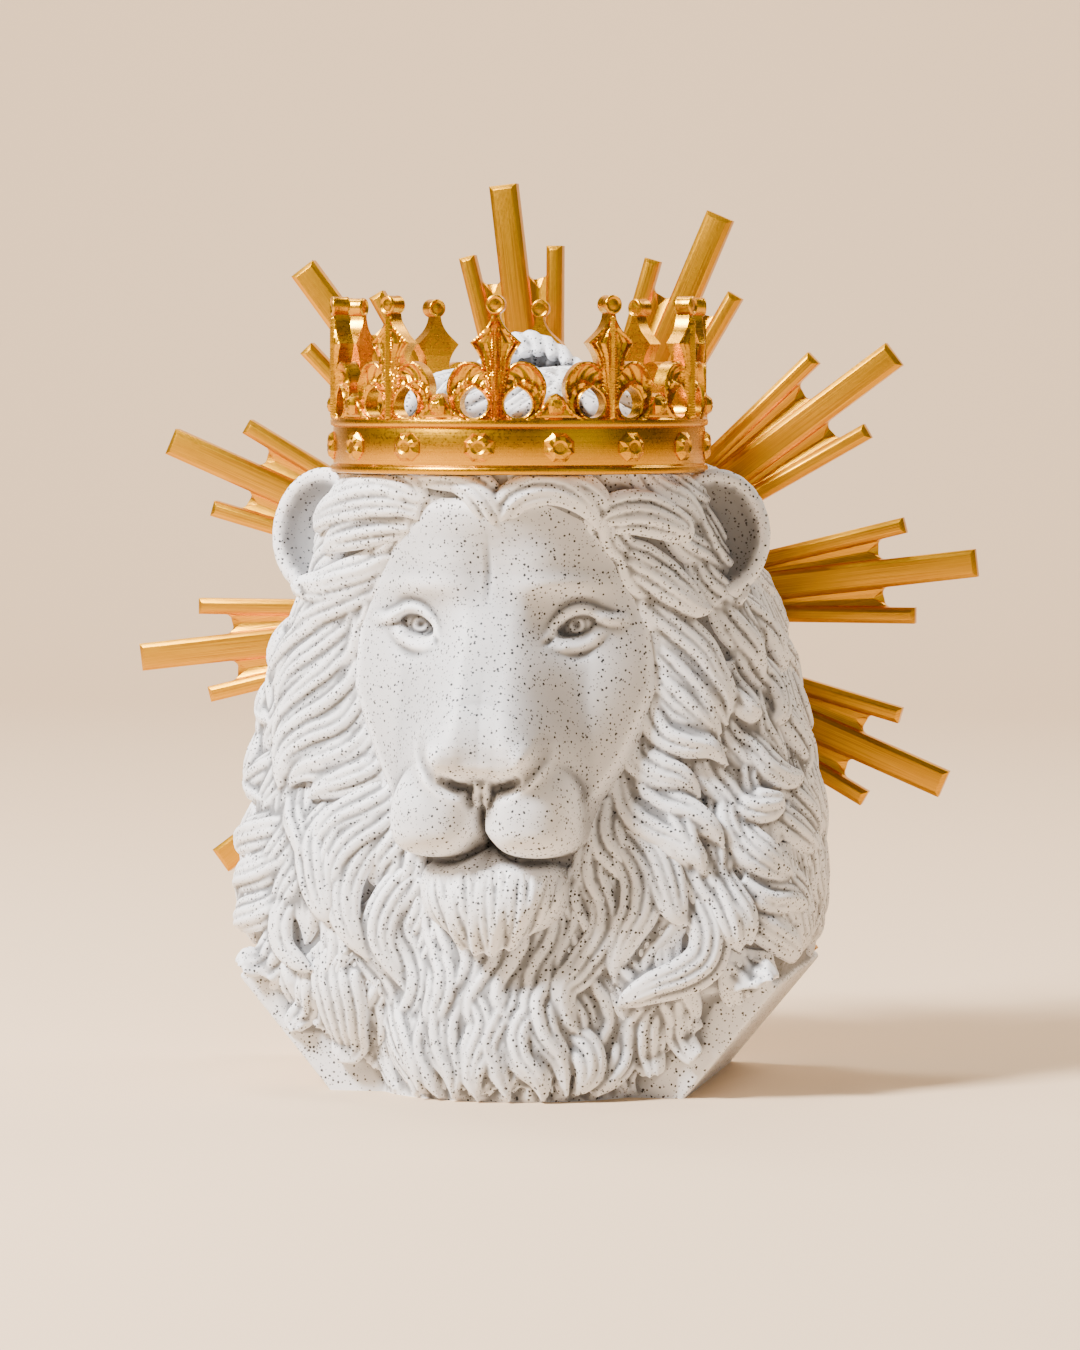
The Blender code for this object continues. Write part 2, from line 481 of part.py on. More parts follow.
def add_lock(verts, faces, line, width, lift, strands, seed, tip=0.18, root=0.0):
    """A lock of hair: a flat core with strands lying side by side on it."""
    rng = random.Random(seed)
    count = len(line)
    places = [p for p, _ in line]
    normals = [n for _, n in line]
    # Softened so that the lock doesn't follow every bump
    for _ in range(4):
        normals = [(normals[max(i - 1, 0)] + normals[i] * 2 + normals[min(i + 1, count - 1)]).normalized()
                   for i in range(count)]
    sides = []
    for i in range(count):
        along = places[min(i + 1, count - 1)] - places[max(i - 1, 0)]
        sides.append(normals[i].cross(along).normalized())
    steps = [i / (count - 1) for i in range(count)]
    spread = [min(0.72 + t, 1.0) * (1 - (1 - tip) * max((t - 0.45) / 0.55, 0) ** 1.5) for t in steps]
    rise = [root + (lift - root) * math.sin(math.pi * min(t / 0.9, 1) * 0.5) for t in steps]
    core = [places[i] + normals[i] * (rise[i] - 2.6) * MM for i in range(count)]
    tube(verts, faces, core, sides, [width * 0.46 * s * MM for s in spread],
         [3.0 * MM * (0.5 + 0.5 * s) for s in spread], normals)
    for j in range(strands):
        u = -1 + 2 * (j + 0.5) / strands
        radius = width / strands * 0.66 * rng.uniform(0.88, 1.1)
        end = 1 - 0.06 * u * u - rng.uniform(0, 0.03)
        last = max(int(round(end * (count - 1))), 4)
        shift = rng.uniform(-0.25, 0.25) * radius
        points = []
        radii = []
        for i in range(last + 1):
            t = i / last
            sideways = (u * width * 0.5 * spread[i] + shift * math.sin(3.0 * t + j)) * MM
            up = (rise[i] + 2.4 * (1 - u * u) * spread[i] - 2.2) * MM
            points.append(places[i] + sides[i] * sideways + normals[i] * up)
            radii.append(radius * (0.55 + 0.45 * spread[i]) * (1 - 0.55 * max((t - 0.8) / 0.2, 0) ** 2) * MM)
        tube(verts, faces, points, sides[:last + 1], radii, radii, normals[:last + 1])


def edge_points(spacing):
    """Places along the right edge of the face, from its top to the chin, in millimetres."""
    line = np.array([(x, z) for z, x in reversed(FACE_EDGE) if z > 48], float)
    lengths = np.r_[0, np.cumsum(np.linalg.norm(np.diff(line, axis=0), axis=1))]
    count = int(lengths[-1] / spacing)
    wanted = np.linspace(0, lengths[-1], count + 1)
    return [(np.interp(s, lengths, line[:, 0]), np.interp(s, lengths, line[:, 1])) for s in wanted]


# Rows of locks round the face: distance behind its edge, lift, length, width and downward pull
ROWS = (
    (96, 2.0, 36, 15.0, 0.75),
    (80, 2.5, 38, 15.0, 0.75),
    (63, 3.0, 40, 15.0, 0.70),
    (46, 2.6, 40, 14.0, 0.80),
    (29, 1.4, 36, 12.0, 1.10),
    (14, 1.2, 34, 11.0, 1.30),
    (-1, 1.0, 32, 10.0, 1.40),
)


def clear_of_slab(place, spare):
    """Whether hair may lie here: above the slanting lower corners."""
    x = abs(place.x) / MM
    z = place.z / MM - spare
    return z > 9 and x < 50 + 26 * z / 31.5 - 5


def mane_locks(skin, whole, strands):
    verts = []
    faces = []
    rng = random.Random(7)
    for row, (behind, lift, length, width, pull) in enumerate(ROWS):
        for side in (-1, 1):
            starts = edge_points(10.5 + 0.06 * max(behind, 0))
            for index, (x, z) in enumerate(starts):
                jitter = rng.uniform(-1.5, 1.5)
                place, normal = skin.from_front(side * (x + 0.5), z + jitter)
                if behind > 4:
                    place, normal = walk(skin, place, normal, behind + 6 * (row % 2), 0.1)[-1]
                if place.y > 60 * MM or not clear_of_slab(place, 8):
                    continue
                low = 1 - min(max((z - 110) / 45, 0), 1)
                phase = 0.02 * index + 0.27 * (row % 2) + rng.uniform(-0.06, 0.06)
                near = behind < 40
                line = walk(skin, place, normal, length * rng.uniform(0.88, 1.12), pull + (2.2 if near else 0.6) * low,
                            0.4 if near else 0.75, phase, rng.choice((-0.9, 0.9)) * rng.uniform(0.5, 1.0), side)
                line = [pair for pair in line if clear_of_slab(pair[0], 0)]
                if len(line) > 6:
                    add_lock(verts, faces, line, width * rng.uniform(0.9, 1.1), lift, strands, rng.random())
    for width, lift, *points in TRACED_LOCKS:
        add_lock(verts, faces, traced(whole, points), width * 1.15, lift * 0.8, strands, rng.random())
    for i in range(9):
        # Behind the crown, down from the top of the head
        angle = math.radians(100 + 20 * i)
        spot = Vector((56 * math.sin(angle), CROWN_CENTRE_Y - 56 * math.cos(angle), 172))
        place, normal = skin.nearest(spot * MM)
        side = 1 if place.x > 0 else -1
        line = walk(skin, place, normal, 42, 0.9, 0.6, 0.1 * i, 0.5, side)
        add_lock(verts, faces, line, 15, 2.5, strands, rng.random())
    add_chin(verts, faces, rng)
    add_crest(verts, faces, skin, rng)
    return verts, faces


def add_strand(verts, faces, points, radii):
    """A single strand through free points, in millimetres."""
    count = len(points)
    points = [Vector(p) * MM for p in points]
    sides = []
    normals = []
    for i in range(count):
        along = (points[min(i + 1, count - 1)] - points[max(i - 1, 0)]).normalized()
        side = along.cross(Vector((0, 1, 0.01))).normalized()
        sides.append(side)
        normals.append(along.cross(side))
    radii = [r * MM for r in radii]
    tube(verts, faces, points, sides, radii, radii, normals)


def add_chin(verts, faces, rng):
    """The tuft of short hair on the chin."""
    for i in range(CHIN_STRANDS):
        u = -1 + 2 * i / (CHIN_STRANDS - 1)
        drop = 18 - 5 * u * u + rng.uniform(-1.2, 1.2)
        points = []
        radii = []
        for k in range(9):
            t = k / 8
            points.append((18.5 * u * (1 - 0.30 * t) + 0.7 * math.sin(5 * t + i), -49.5 + 11.5 * u * u + 2.5 * t * t,
                           61.5 - drop * t - 2.5 * u * u))
            radii.append(2.6 * (0.35 + 0.65 * math.sin(math.pi * min(0.12 + t * 0.85, 1)) ** 0.7))
        add_strand(verts, faces, points, radii)


def add_crest(verts, faces, skin, rng):
    """Hair combed over the top of the head, and the curls that stand out of the crown."""
    for i in range(14):
        angle = 2 * math.pi * (i + rng.uniform(-0.2, 0.2)) / 14
        line = []
        for k in range(12):
            bend = angle + 0.5 * math.sin(3.2 * k / 11 + i)
            reach = 6 + 36 * k / 11
            spot = Vector((reach * math.sin(bend), CROWN_CENTRE_Y - reach * math.cos(bend), 203 - 0.014 * reach ** 2))
            line.append(skin.nearest(spot * MM))
        add_lock(verts, faces, line, 12, 2.6, 3, rng.random(), tip=0.6)
    for i in range(7):
        lean = -10 + 4.0 * i
        height = (203, 207.5, 210, 210.5, 209, 206.5, 203)[i]
        points = []
        radii = []
        for k in range(9):
            t = k / 8
            points.append((lean - 8 + 10 * t, 14 - 9 * t, 194 + (height - 194) * math.sin(2.3 * t) - 1.5 * t))
            radii.append(2.9 - 0.9 * t)
        add_strand(verts, faces, points, radii)


def add_ear(bm, side):
    """A rounded cup, turned outwards."""
    profile = ((0, -6.5), (0.45, -6), (0.66, -3.5), (0.76, 0.4), (0.84, 2.2), (0.94, 2.3), (1.02, 0.6), (1.0, -3),
               (0.7, -10), (0, -14))
    place = Matrix.Translation(Vector((56 * side, -9, 155)) * MM)
    place @= Matrix.Rotation(math.radians(28 * side), 4, "Z") @ Matrix.Rotation(math.radians(-8), 4, "X")
    rings = []
    for reach, depth in profile:
        ring = []
        for i in range(24):
            angle = 2 * math.pi * i / 24
            spot = Vector((15.0 * reach * math.cos(angle), -depth, 18.0 * reach * math.sin(angle)))
            ring.append(place @ (spot * MM))
        rings.append([bm.verts.new(v) for v in ring] if reach else [bm.verts.new(ring[0])])
    for low, high in zip(rings, rings[1:]):
        for i in range(24):
            j = (i + 1) % 24
            if len(low) == 1:
                bm.faces.new((low[0], high[j], high[i]))
            elif len(high) == 1:
                bm.faces.new((low[i], low[j], high[0]))
            else:
                bm.faces.new((low[i], low[j], high[j], high[i]))


def cutter_block(name, size_from, size_to, collection):
    bm = bmesh.new()
    low = Vector(size_from) * MM
    high = Vector(size_to) * MM
    matrix = Matrix.Translation((low + high) / 2) @ Matrix.Diagonal((*(high - low), 1))
    bmesh.ops.create_cube(bm, size=1, matrix=matrix)
    mesh = bpy.data.meshes.new(name)
    bm.to_mesh(mesh)
    bm.free()
    return add_cutter(name, mesh, collection)


def add_cutter(name, mesh, collection):
    obj = link(name, mesh, collection)
    obj.hide_render = True
    obj.display_type = "WIRE"
    return obj


def seat_cutter(collection):
    """The flat ring that the crown rests on, cut out of the hair."""
    inner = CROWN_INNER - 0.6
    outer = CROWN_OUTER + CROWN_RIM + 0.3
    profile = ((inner, SEAT_Z), (outer, SEAT_Z), (outer, SEAT_Z + 20), (inner, SEAT_Z + 20))
    bm = bmesh.new()
    rings = []
    for i in range(48):
        angle = 2 * math.pi * i / 48
        rings.append([bm.verts.new(Vector((r * math.sin(angle), CROWN_CENTRE_Y - r * math.cos(angle), z)) * MM)
                      for r, z in profile])
    for a, b in zip(rings, rings[1:] + rings[:1]):
        for k in range(4):
            bm.faces.new((a[k], b[k], b[(k + 1) % 4], a[(k + 1) % 4]))
    bmesh.ops.recalc_face_normals(bm, faces=bm.faces)
    mesh = bpy.data.meshes.new("seat_cutter")
    bm.to_mesh(mesh)
    bm.free()
    return add_cutter("seat_cutter", mesh, collection)


def largest_shell(mesh):
    """Leaves the outer skin and drops whatever the remesh left inside it."""
    bm = bmesh.new()
    bm.from_mesh(mesh)
    unseen = set(bm.verts)
    shells = []
    while unseen:
        start = unseen.pop()
        shell = [start]
        queue = [start]
        while queue:
            for edge in queue.pop().link_edges:
                for vert in edge.verts:
                    if vert in unseen:
                        unseen.discard(vert)
                        shell.append(vert)
                        queue.append(vert)
        shells.append(shell)
    shells.sort(key=len)
    bmesh.ops.delete(bm, geom=[v for shell in shells[:-1] for v in shell], context="VERTS")
    bm.to_mesh(mesh)
    bm.free()


def build_head(collection, cutters, material):
    bm = bmesh.new()
    bm.from_mesh(under_form(collection))
    skin = Skin(bm)
    slab = ((-BASE_HALF_WIDTH, -4 * MM), (-BASE_HALF_WIDTH, 0), (-CHAMFER_TOP[0], CHAMFER_TOP[1]),
            (-70 * MM, 36 * MM), (70 * MM, 36 * MM), CHAMFER_TOP, (BASE_HALF_WIDTH, 0),
            (BASE_HALF_WIDTH, -4 * MM))
    add_prism(bm, tuple(reversed(slab)), BASE_FRONT_Y, BACK_Y + 4 * MM)
    for side in (-1, 1):
        add_ear(bm, side)
    whole = Skin(bm)
    add_face(bm, 1.0)
    verts, faces = mane_locks(skin, whole, 3)
    made = [bm.verts.new(v) for v in verts]
    for face in faces:
        bm.faces.new([made[i] for i in face])
    mesh = bpy.data.meshes.new("lion_head")
    bm.to_mesh(mesh)
    bm.free()
    mesh = remeshed(link("rough_head", mesh, collection), HEAD_VOXEL, 1)
    largest_shell(mesh)
    rough = link("rough_head", mesh, collection)
    decimate = rough.modifiers.new("fewer_faces", "DECIMATE")
    decimate.ratio = HEAD_TRIANGLES / sum(len(p.vertices) - 2 for p in mesh.polygons)
    for cutter in (cutter_block("floor_cutter", (-120, -120, -60), (120, 120, 0), cutters),
                   cutter_block("back_cutter", (-130, BACK_Y / MM, -80), (130, 140, 260), cutters),
                   seat_cutter(cutters)):
        cut = rough.modifiers.new(cutter.name, "BOOLEAN")
        cut.operation = "DIFFERENCE"
        cut.solver = "EXACT"
        cut.object = cutter
    mesh = evaluated_mesh(rough)
    remove(rough)
    # Hair that the crown's seat has cut off
    largest_shell(mesh)
    mesh.name = "lion_head"
    mesh.materials.clear()
    return link("lion_head", mesh, collection, material)


# Crown: the wall is drawn unrolled as (angle, height, outside radius), then wrapped round

def ring_points(height, radius, count=40):
    return [(360 * i / count, height, radius) for i in range(count)]


def round_the_crown(u, middle):
    return middle + math.degrees(u / CROWN_OUTER)


def gem_rings(middle, height, size, count, rise):
    """A faceted stone: its foot, and a smaller table standing out."""
    rings = []
    for scale, radius in ((1.0, CROWN_OUTER), (0.62, CROWN_OUTER + rise)):
        ring = []
        for i in range(count):
            angle = 2 * math.pi * (i + 0.5) / count
            ring.append((round_the_crown(size[0] * scale * math.cos(angle), middle),
                         height + size[1] * scale * math.sin(angle), radius))
        rings.append(ring)
    return rings


def flat_place(point):
    angle = math.radians(point[0])
    reach = CROWN_OUTER + point[1]
    return Vector((reach * math.sin(angle), -reach * math.cos(angle)))


def wrapped(point, radius):
    angle = math.radians(point[0])
    return Vector((radius * math.sin(angle), CROWN_CENTRE_Y - radius * math.cos(angle), CROWN_BOTTOM + point[1])) * MM


def inside(loop, x, y):
    odd = False
    for (ax, ay), (bx, by) in zip(loop, loop[1:] + loop[:1]):
        if (ay > y) != (by > y) and x < ax + (y - ay) * (bx - ax) / (by - ay):
            odd = not odd
    return odd


def filled(points, loops, outer, holes):
    """Triangles between an outer loop and the holes in it, using every point given."""
    edges = [(loop[i], loop[(i + 1) % len(loop)]) for loop in loops for i in range(len(loop))]
    flat, _, triangles, origins, _, _ = delaunay_2d_cdt(points, edges, [], 0, 1e-7)
    outer = [points[i][:] for i in outer]
    holes = [[points[i][:] for i in hole] for hole in holes]
    kept = []
    for triangle in triangles:
        x, y = sum((flat[i] for i in triangle), Vector((0, 0))) / 3
        if inside(outer, x, y) and not any(inside(hole, x, y) for hole in holes):
            kept.append([origins[i][0] for i in triangle])
    return kept


def crown_loops():
    """The outline of the crown's wall with its holes."""
    bottom = ring_points(0, CROWN_OUTER + CROWN_RIM)
    top = []
    holes = []
    for k in range(FINIALS):
        middle = FINIAL_TURN + k * 360 / FINIALS
        left = [(-u, v) for u, v in reversed(FINIAL_OUTLINE[1:])]
        for u, v in left + list(FINIAL_OUTLINE):
            radius = CROWN_OUTER + (1.0 if v > 29 else 0)
            top.append((round_the_crown(u, middle), CROWN_BAND + v, radius))
        top.append((middle + 180 / FINIALS, CROWN_BAND + VALLEY_TOP, CROWN_OUTER))
        for side in (-1, 1):
            holes.append([(round_the_crown(side * u, middle), CROWN_BAND + v, CROWN_OUTER) for u, v in HOLE_OUTLINE])
    return bottom, top, holes


def build_crown(collection, material):
    bottom, top, holes = crown_loops()
    points = []
    loops = []

    def take(loop):
        first = len(points)
        points.extend(loop)
        loops.append(list(range(first, len(points))))
        return loops[-1]

    edge = take(bottom)
    outline = take(top)
    gaps = [take(hole) for hole in holes]
    boundary = len(points)
    border = list(loops)
    rim = CROWN_OUTER + CROWN_RIM
    for height, radius in ((2.2, rim), (2.5, CROWN_OUTER), (12.7, CROWN_OUTER), (13.0, rim), (15.0, rim), (15.25, CROWN_OUTER)):
        take(ring_points(height, radius))
    for k in range(BAND_GEMS):
        for ring in gem_rings(BAND_GEM_TURN + 24 * k, 7.3, (4.4, 4.2), 8, 1.7):
            take(ring)
    for k in range(FINIALS):
        middle = FINIAL_TURN + 36 * k
        for ring in gem_rings(middle + 18, CROWN_BAND + 3.5, (2.7, 2.9), 6, 1.7):
            take(ring)
        first = len(points)
        for height, rise in ((1.0, 1.2), (10, 1.6), (20.6, 1.9), (27.0, 1.2)):
            points.append((middle, CROWN_BAND + height, CROWN_OUTER + rise))
        loops.extend([[first + i, first + i + 1] for i in range(3)])
        for side in (-1, 1):
            points.append((round_the_crown(side * 9.2, middle), CROWN_BAND + 11.6, CROWN_OUTER - 1.3))
    flat = [flat_place(p) for p in points]
    front = filled(flat, loops, outline, [edge] + gaps)
    back = filled(flat[:boundary], border, outline, [edge] + gaps)
    bm = bmesh.new()
    outside = [bm.verts.new(wrapped(p, p[2])) for p in points]
    within = [bm.verts.new(wrapped(p, CROWN_INNER)) for p in points[:boundary]]
    for triangle in front:
        bm.faces.new([outside[i] for i in triangle])
    for triangle in back:
        bm.faces.new([within[i] for i in reversed(triangle)])
    for loop in border:
        for a, b in zip(loop, loop[1:] + loop[:1]):
            bm.faces.new((outside[a], outside[b], within[b], within[a]))
    return finished("crown", bm, collection, material)


def finished(name, bm, collection, material):
    bmesh.ops.recalc_face_normals(bm, faces=bm.faces)
    bmesh.ops.triangulate(bm, faces=[f for f in bm.faces if len(f.verts) > 3])
    mesh = bpy.data.meshes.new(name)
    bm.to_mesh(mesh)
    bm.free()
    return link(name, mesh, collection, material)


# Sunburst

def ray_point(reach, aside, angle):
    """A place on a ray: distance along it and to its right."""
    turn = math.radians(angle)
    return (reach * math.sin(turn) + aside * math.cos(turn), reach * math.cos(turn) - aside * math.sin(turn))


def build_sunburst(collection, material):
    outline = []
    webs = []
    half_main, main_end = MAIN_RAY
    half_side, side_end = SIDE_RAY
    for k in range(CLUSTERS):
        middle = SUN_TURN + 360 * k / CLUSTERS
        left = middle - SIDE_ANGLE
        right = middle + SIDE_ANGLE
        start = math.sqrt(HUB_RADIUS ** 2 - half_side ** 2)
        outline += [ray_point(start, -half_side, left), ray_point(side_end, -half_side, left),
                    ray_point(side_end, half_side, left), ray_point(WEB_END, half_side, left),
                    ray_point(WEB_END - 0.7, -half_main, middle), ray_point(main_end, -half_main, middle),
                    ray_point(main_end, half_main, middle), ray_point(WEB_END - 0.7, half_main, middle),
                    ray_point(WEB_END, -half_side, right), ray_point(side_end, -half_side, right),
                    ray_point(side_end, half_side, right), ray_point(start, half_side, right)]
        for side, angle in ((-1, left), (1, right)):
            near = ((56, -side * (half_side + 0.3)), (WEB_END - 1.6, -side * (half_side + 0.3)))
            far = ((WEB_END - 2.2, side * (half_main + 0.3)), (58, side * (half_main + 0.3)))
            webs.append([ray_point(*p, angle) for p in near] + [ray_point(*p, middle) for p in far])
    points = [(*p, 0.0) for p in outline]
    loops = [list(range(len(points)))]
    boundary = len(points)
    for web in webs:
        centre = (sum(p[0] for p in web) / 4, sum(p[1] for p in web) / 4)
        for shrink, depth in ((0.0, 0.0), (0.12, WEB_RECESS)):
            first = len(points)
            points += [(p[0] + (centre[0] - p[0]) * shrink, p[1] + (centre[1] - p[1]) * shrink, depth) for p in web]
            loops.append(list(range(first, first + 4)))
    flat = [Vector(p[:2]) for p in points]
    front = filled(flat, loops, loops[0], [])
    back = filled(flat[:boundary], loops[:1], loops[0], [])
    bm = bmesh.new()
    front_y = BACK_Y + GAP

    def placed(point, y):
        return bm.verts.new(((SUN_CENTRE_X + point[0]) * MM, y, (SUN_CENTRE_Z + point[1]) * MM))

    before = [placed(p, front_y + p[2] * MM) for p in points]
    behind = [placed(p, front_y + SUN_THICK * MM) for p in points[:boundary]]
    for triangle in front:
        bm.faces.new([before[i] for i in triangle])
    for triangle in back:
        bm.faces.new([behind[i] for i in reversed(triangle)])
    for a, b in zip(loops[0], loops[0][1:] + loops[0][:1]):
        bm.faces.new((before[a], before[b], behind[b], behind[a]))
    return finished("sunburst", bm, collection, material)


def make_material(name, colour, metallic, roughness):
    material = bpy.data.materials.new(name)
    material.use_nodes = True
    shader = material.node_tree.nodes["Principled BSDF"]
    shader.inputs["Base Color"].default_value = (*colour, 1)
    shader.inputs["Metallic"].default_value = metallic
    shader.inputs["Roughness"].default_value = roughness
    return material


def main():
    clear_scene()
    collection = bpy.data.collections.new("lion_head_with_crown")
    cutters = bpy.data.collections.new("cutters")
    bpy.context.scene.collection.children.link(collection)
    bpy.context.scene.collection.children.link(cutters)
    build_head(collection, cutters, make_material("marble_print", (0.72, 0.72, 0.73), 0.0, 0.55))
    build_crown(collection, make_material("gold_crown", (0.80, 0.45, 0.10), 0.7, 0.35))
    build_sunburst(collection, make_material("gold_rays", (0.80, 0.42, 0.09), 0.6, 0.42))


main()
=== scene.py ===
import math
import random

import bmesh
import bpy
import numpy as np
from mathutils import Matrix, Vector
from mathutils.bvhtree import BVHTree
from mathutils.geometry import delaunay_2d_cdt


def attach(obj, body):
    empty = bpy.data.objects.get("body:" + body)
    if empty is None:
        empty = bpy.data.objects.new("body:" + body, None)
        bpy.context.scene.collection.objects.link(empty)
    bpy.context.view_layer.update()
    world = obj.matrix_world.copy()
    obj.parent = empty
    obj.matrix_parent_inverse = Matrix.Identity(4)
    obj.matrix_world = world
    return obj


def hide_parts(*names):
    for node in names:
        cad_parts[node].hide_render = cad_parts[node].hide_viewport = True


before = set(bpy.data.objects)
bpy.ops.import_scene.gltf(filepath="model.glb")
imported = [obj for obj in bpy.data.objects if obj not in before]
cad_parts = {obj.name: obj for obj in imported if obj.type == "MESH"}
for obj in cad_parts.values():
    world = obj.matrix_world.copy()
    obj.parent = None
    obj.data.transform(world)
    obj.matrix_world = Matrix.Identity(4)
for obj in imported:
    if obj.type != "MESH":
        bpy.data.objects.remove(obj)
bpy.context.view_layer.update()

# A printed lion's head with a crown on it and a ring of rays behind it.
# Sizes are in millimetres: X to the right, Y to the back, Z up from the head's underside.

mm = 0.001
scene = bpy.context.scene

# painted shade in the grooves and painted light on the ridges: rounds of softening that a groove is measured
# against, the depth in mm that counts as full, and how strongly the face takes it
grooveShade = {"rounds": (6, 26), "depths": (0.24, 0.8), "face": 0.6}


def meshFrom(name, verts, faces):
    mesh = bpy.data.meshes.new(name)
    mesh.from_pydata([tuple(v) for v in verts], [], [tuple(f) for f in faces])
    mesh.update()
    return mesh


def addObject(name, mesh, material=None):
    obj = bpy.data.objects.new(name, mesh)
    scene.collection.objects.link(obj)
    if material:
        mesh.materials.clear()
        mesh.materials.append(material)
    return obj


def finalMesh(obj):
    # the mesh with its modifiers worked in; the object itself goes
    graph = bpy.context.evaluated_depsgraph_get()
    mesh = bpy.data.meshes.new_from_object(obj.evaluated_get(graph))
    bpy.data.objects.remove(obj)
    return mesh


def shadeSmooth(mesh, angle=None):
    mesh.shade_smooth()
    if angle is not None:
        mesh.set_sharp_from_angle(angle=math.radians(angle))


def markPaintedGrooveShade(mesh, strength=1.0):
    # how far each spot lies below the softened surface round it: 0.5 is level, 1 is deep in a groove; the
    # marble paints shade where this is near 1 and light where it is near 0
    count = len(mesh.vertices)
    co = np.empty(count * 3)
    mesh.vertices.foreach_get("co", co)
    co = co.reshape(-1, 3) / mm
    normals = np.empty(count * 3)
    mesh.vertex_normals.foreach_get("vector", normals)
    normals = normals.reshape(-1, 3)
    edges = np.empty(len(mesh.edges) * 2, int)
    mesh.edges.foreach_get("vertices", edges)
    edges = edges.reshape(-1, 2)
    ends = np.r_[edges[:, 0], edges[:, 1]]
    others = np.r_[edges[:, 1], edges[:, 0]]
    near = np.maximum(np.bincount(ends, minlength=count), 1)
    soft = co.copy()
    found = np.zeros(count)
    for step in range(1, grooveShade["rounds"][-1] + 1):
        soft = np.stack([np.bincount(ends, soft[others, k], count) for k in range(3)], -1) / near[:, None]
        if step in grooveShade["rounds"]:
            depth = grooveShade["depths"][grooveShade["rounds"].index(step)]
            found += np.clip(((soft - co) * normals).sum(1) / depth, -1, 1)
    value = np.clip(0.5 + 0.5 * strength * found, 0, 1)
    for _ in range(2):
        value = 0.5 * value + 0.5 * np.bincount(ends, value[others], count) / near
    mesh.attributes.new("grooveShade", "FLOAT", "POINT").data.foreach_set("value", value)


def smoothStep(low, high, value):
    t = np.clip((value - low) / (high - low), 0, 1)
    return t * t * (3 - 2 * t)


def smoothLine(points, steps=6):
    p = np.array(points, float)
    p = np.vstack([2 * p[0] - p[1], p, 2 * p[-1] - p[-2]])
    out = []
    for a, b, c, d in zip(p[:-3], p[1:-2], p[2:-1], p[3:]):
        for t in np.arange(steps) / steps:
            cubic = 3 * b - a - 3 * c + d
            square = 2 * a - 5 * b + 4 * c - d
            out.append(0.5 * (2 * b + (c - a) * t + square * t ** 2 + cubic * t ** 3))
    out.append(p[-2])
    return np.array(out)


# The camera stands a little to the right of the face and level with the crown.

view = {"turn": 11.0, "distance": 1540.0, "height": 200.0, "lens": 5500 / 1350 * 36,
        "aimRight": 16.6 / 5500, "aimDown": 304 / 5500}


def placeCamera():
    turn = math.radians(view["turn"])
    data = bpy.data.cameras.new("camera")
    data.sensor_fit = "AUTO"
    data.sensor_width = 36
    data.lens = view["lens"]
    data.clip_start = 0.05
    data.clip_end = 30
    camera = bpy.data.objects.new("camera", data)
    scene.collection.objects.link(camera)
    camera.location = (view["distance"] * math.sin(turn) * mm, -view["distance"] * math.cos(turn) * mm,
                       view["height"] * mm)
    ahead = Vector((-math.sin(turn), math.cos(turn), 0))
    right = Vector((math.cos(turn), math.sin(turn), 0))
    aim = ahead + right * view["aimRight"] - Vector((0, 0, view["aimDown"]))
    camera.rotation_euler = aim.to_track_quat("-Z", "Y").to_euler()
    scene.camera = camera


placeCamera()
print("camera placed")

# The lion's head.

crown = {"centreY": -6.0, "bottom": 172.0, "inner": 48.0, "outer": 51.8, "rim": 0.8, "band": 15.0,
         "finials": 10, "finialTurn": 4.0, "bandGems": 15, "bandGemTurn": -1.0, "seat": 171.7}

head = {
    "backY": 58.0, "slabFront": -26.0, "slabHalf": 50.0, "slantTop": (76.0, 31.5), "middleY": 14.0,
    "underVoxel": 2.0, "voxel": 0.8, "faceStep": 0.39, "roughStep": 1.0, "under": 1.0, "triangles": 150000,
    # the mane under its hair: height, half width, front, back, and how square
    "levels": (
        (-6, 34, -22, 66, 4.0), (10, 48, -27, 66, 4.0), (20, 62, -31, 66, 4.0), (30, 74.5, -34, 66, 4.0),
        (48, 78, -35, 66, 3.6), (66, 79, -34, 66, 3.0), (84, 77, -30, 66, 2.6), (104, 73, -29, 66, 2.4),
        (124, 68, -31, 66, 2.3), (144, 61, -36, 66, 2.3), (158, 56, -43, 63, 2.3), (166, 53, -48, 58, 2.2),
        (171, 49, -51, 50, 2.1)),
    # beard and crown of the head: centre and radii
    "masses": (((0, -14, 10), (38, 29, 80)), ((0, -5, 168), (46, 47, 31))),
    # edge of the face: height and half width
    "faceEdge": ((44, 12), (52, 19), (60, 21.5), (69, 24), (83, 28.5), (94, 35), (113, 42.5),
                 (132, 41.5), (148, 34), (157, 28), (164, 26)),
}


def smoothMax(a, b, soft):
    return (a + b + np.sqrt((a - b) ** 2 + soft * soft)) / 2


def boss(x, z, centre, radii, depth, rise, power, square=2.0):
    # a rounded block standing out of the face
    across = np.abs((x - centre[0]) / radii[0]) ** square
    r = (across + np.abs((z - centre[1]) / radii[1]) ** square) ** (1 / square)
    inside = np.clip(1 - r ** power, 0, 1) ** (1 / power)
    return depth + rise * inside - 3 * rise * np.clip(r - 1, 0, None)


def swell(x, z, centre, radii, height):
    r2 = ((x - centre[0]) / radii[0]) ** 2 + ((z - centre[1]) / radii[1]) ** 2
    return height * np.exp(-r2)


